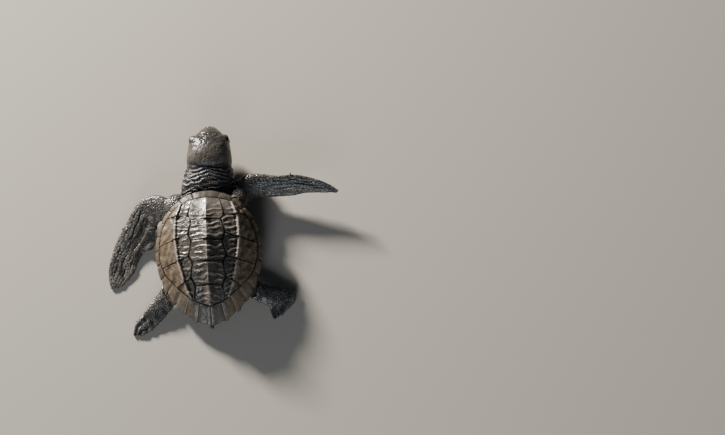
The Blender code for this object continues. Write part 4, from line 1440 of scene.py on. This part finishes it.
beak("upper_beak", "beak_upper", NOSTRILS)
beak("lower_beak", "beak_lower")

# %% [markdown]
# ## Eyes
# A hatchling's eye is dark and wet, with a clear cornea that stands a little proud. It looks
# outwards and a little forwards. The iris could be a piece of its own, but at this size it shows
# only as black, so one ball with a thin clear coat does.

# %% Wet eyes
CORNEA = 0.045
LOOK_WAY = (0.93, -0.28, 0.22)


def eye_finish():
    """Nearly black, with a clear coat."""
    mat, tree, shader = new_material("wet_eye")
    cloud = cloud_noise(tree, 900.0)
    colour = mix_colour(tree, cloud, (0.004, 0.003, 0.003), (0.018, 0.012, 0.009))
    tree.links.new(colour, shader.inputs["Base Color"])
    shader.inputs["Roughness"].default_value = 0.07
    shader.inputs["Specular IOR Level"].default_value = 0.42
    shader.inputs["Coat Weight"].default_value = 0.15
    shader.inputs["Coat Roughness"].default_value = 0.04
    return mat


def eyeball(word, finish):
    """A smooth ball with its cornea turned the way the eye looks."""
    obj = ball("eyeball_" + word, EYE_RADIUS, 48, 32)
    side = 1.0 if word == "left" else -1.0
    look = unit(np.array([LOOK_WAY]) * np.array([side, 1.0, 1.0]))[0]
    p = points(obj)
    p = p * (1 + CORNEA * soft_step(0.80, 1.0, (p / EYE_RADIUS) @ look))[:, None]
    put_points(obj, p + EYES[word])
    close_piece(obj, finish, ("eye_" + word,))


WET_EYE = eye_finish()
for word in EYES:
    eyeball(word, WET_EYE)

# %% [markdown]
# ## Claws
# One small claw stands at the front edge of each flipper. Its solid is a short cone. The copy is
# rounded, its root is pushed back into the skin, and the rest is drawn in to match. Which end is
# the root is found from a place inside the limb, instead of turning each claw by hand.

# %% Four claws
INSIDE_LIMB = {"front_left": (24.0, -10.0, 2.5), "front_right": (-27.0, -24.0, 6.0),
               "hind_left": (20.0, 18.0, 1.5), "hind_right": (-22.0, 14.0, 2.0)}
CLAW_ROOT = 0.35
ROOT_DEPTH = 0.95
CLAW_SHIFT = 0.35
CLAW_SHORTER = 0.32


def claw(word):
    """A claw's cone, with its root in the skin."""
    obj = working_copy("claw_" + word, "nail_" + word)
    subdivide(obj, 2)
    p = points(obj)
    middle = p.mean(0)
    axis = np.linalg.svd(p - middle)[2][0]
    axis = axis * np.sign((middle - np.array(INSIDE_LIMB[word])) @ axis)
    reach = (p - middle) @ axis
    from_root = reach - reach.min()
    root = 1 - soft_step(0.0, CLAW_ROOT, from_root)
    back = ROOT_DEPTH * root + CLAW_SHIFT + CLAW_SHORTER * from_root
    put_points(obj, p - axis * back[:, None])
    set_look(obj, 0.5 + 0.3 * soft_step(0.0, 0.5, reach), tint=root)
    close_piece(obj, CLAW_HORN, ("claw_" + word,))


for word in INSIDE_LIMB:
    claw(word)

# %% [markdown]
# ## Flanks
# Under the rim the flanks are dark skin with small plates. Above, the same body is the bed on
# which the plates of the shell lie. It is raised close to them, so that their seams are shallow
# grooves. A bed for each plate would do too, but the solid of the trunk is there already.

# %% Flanks and the bed of the plates
SEAM_BED = 0.74
TRUNK_VOXEL = 0.24


def flanks():
    """The trunk, scaled below and raised above."""
    obj = working_copy("trunk", "flanks")
    subdivide(obj, 2)
    melt(obj, TRUNK_VOXEL, 4)
    p, n = points(obj), point_normals(obj)
    top = soft_step(0.35, 0.55, n[:, 2])
    seen = top < 0.5
    inset, tone = cell_pattern(p, settle(p[seen], scatter(p[seen], 1.7, 95)))
    dome = soft_step(0.04, 0.45, inset)
    carve(obj, p, n, 0.14 * (dome - 0.8) * (1 - top) + SEAM_BED * top)
    set_look(obj, 0.15 + 0.35 * dome * seen + 0.22 * top, tint=0.25 * seen, tone=tone)
    close_piece(obj, SKIN, ("trunk",))


flanks()

# %% [markdown]
# ## Plastron
# The plastron is paler horn with one seam down the middle and five across, and two lines where it
# is worn paler. The seams are carved as soft lines that bow a little. Cutting it into plates would
# show the same, for many more pieces on a side that lies on the floor.

# %% Plastron
PLASTRON_SEAMS = [-15.0, -10.8, -4.6, 2.4, 9.0]
PLASTRON_VOXEL = 0.20
SEAM_WIDTH = 0.20


def plastron():
    """The belly's horn, with its seams."""
    obj = working_copy("plastron", "belly_plates")
    melt(obj, PLASTRON_VOXEL, 4)
    p, n = points(obj), point_normals(obj)
    seam = bump(p[:, 0] + 0.25 * ripple(p, 6.0, 96), 0.0, SEAM_WIDTH)
    for y in PLASTRON_SEAMS:
        bow = y + 0.018 * p[:, 0] ** 2 * (1 if y > -5 else -1) + 0.2 * ripple(p, 5.0, 97)
        seam = np.maximum(seam, bump(p[:, 1], bow, SEAM_WIDTH))
    carve(obj, p, n, (0.02 * ripple(p, 1.2, 98) - 0.20 * seam - 0.05) * (n[:, 2] < 0))
    paleness = bump(np.abs(p[:, 0]), 4.6, 0.9)
    relief = 0.55 - 0.5 * seam + 0.12 * paleness + 0.1 * ripple(p, 1.6, 99)
    stain = 0.55 + 0.6 * ripple(p, 6.0, 100) + 0.5 * (np.abs(p[:, 0]) > 9)
    set_look(obj, relief, tint=stain, tone=0.6 * ripple(p, 3.0, 101))
    close_piece(obj, BELLY_HORN, ("plastron",))


plastron()
print("all pieces after %.0f s" % (time.time() - STARTED))

# %% [markdown]
# ## Floor and sky
# The model stands on a plain pale floor, so that nothing draws the eye from it. Sand could be
# scattered, but it belongs to the beach and not to the animal. The sky is a faint cool light
# that keeps the shadows from turning black.

# %% Floor and world
def floor():
    """A wide matt floor."""
    bpy.ops.object.select_all(action="DESELECT")
    bpy.ops.mesh.primitive_plane_add(size=6.0, location=(0, 0, 0))
    obj = bpy.context.active_object
    obj.name = "floor"
    mat, _, shader = new_material("pale_floor")
    shader.inputs["Base Color"].default_value = (0.46, 0.430, 0.386, 1.0)
    shader.inputs["Roughness"].default_value = 0.9
    shader.inputs["Specular IOR Level"].default_value = 0.1
    obj.data.materials.append(mat)


def sky():
    """A faint cool light from all round."""
    world = bpy.data.worlds.new("studio")
    world.use_nodes = True
    background = world.node_tree.nodes["Background"]
    background.inputs["Color"].default_value = (0.72, 0.86, 1.0, 1.0)
    background.inputs["Strength"].default_value = 0.040
    bpy.context.scene.world = world
    print("sky strength: %.3f" % background.inputs["Strength"].default_value)


floor()
sky()

# %% [markdown]
# ## Lamps
# The key lamp stands far out to the animal's front left, low enough to rake across the keels, and
# is small, so shadows have an edge. The fill is larger, much weaker and cooler, and stands
# behind. A sun would light as well, but its shadows are the same everywhere.

# %% Key and fill
def lamp(name, place, aim, size, power, colour):
    """A round area light, turned towards a place."""
    data = bpy.data.lights.new(name, "AREA")
    data.shape = "DISK"
    data.size = size
    data.energy = power
    data.color = colour
    obj = bpy.data.objects.new(name, data)
    obj.location = place
    obj.rotation_euler = (Vector(aim) - Vector(place)).to_track_quat("-Z", "Y").to_euler()
    bpy.context.scene.collection.objects.link(obj)
    print("%s lamp: %.1f W, %.2f m away" % (name, power, (Vector(aim) - Vector(place)).length))


lamp("key", place=(0.389, -0.556, 0.242), aim=(0.0, -0.01, 0.01), size=0.10, power=19.0,
     colour=(1.0, 0.94, 0.86))
lamp("fill", place=(0.14, 0.66, 0.29), aim=(0.0, 0.0, 0.0), size=0.36, power=2.9,
     colour=(0.86, 0.93, 1.0))

# %% [markdown]
# ## Camera
# The camera looks down steeply from behind, as one looks at a hatchling that crawls away. A long
# lens keeps the shell's proportions. A camera right overhead would show the plates as well, but
# not how high they stand.

# %% Camera
LENS = 100.0
DISTANCE = 0.700
HEIGHT_ANGLE = math.radians(75.0)
SIDE_ANGLE = math.radians(3.0)
AIM = Vector((-0.0533, -0.0136, 0.0))


def camera():
    """A camera behind and above the animal."""
    data = bpy.data.cameras.new("camera")
    data.lens = LENS
    data.sensor_width = 36.0
    data.clip_start = 0.01
    obj = bpy.data.objects.new("camera", data)
    level = math.cos(HEIGHT_ANGLE)
    way = Vector((level * math.sin(SIDE_ANGLE), level * math.cos(SIDE_ANGLE), math.sin(HEIGHT_ANGLE)))
    obj.location = AIM + way * DISTANCE
    obj.rotation_euler = (-way).to_track_quat("-Z", "Y").to_euler()
    bpy.context.scene.collection.objects.link(obj)
    bpy.context.scene.camera = obj
    print("camera at", [round(c, 3) for c in obj.location])


camera()
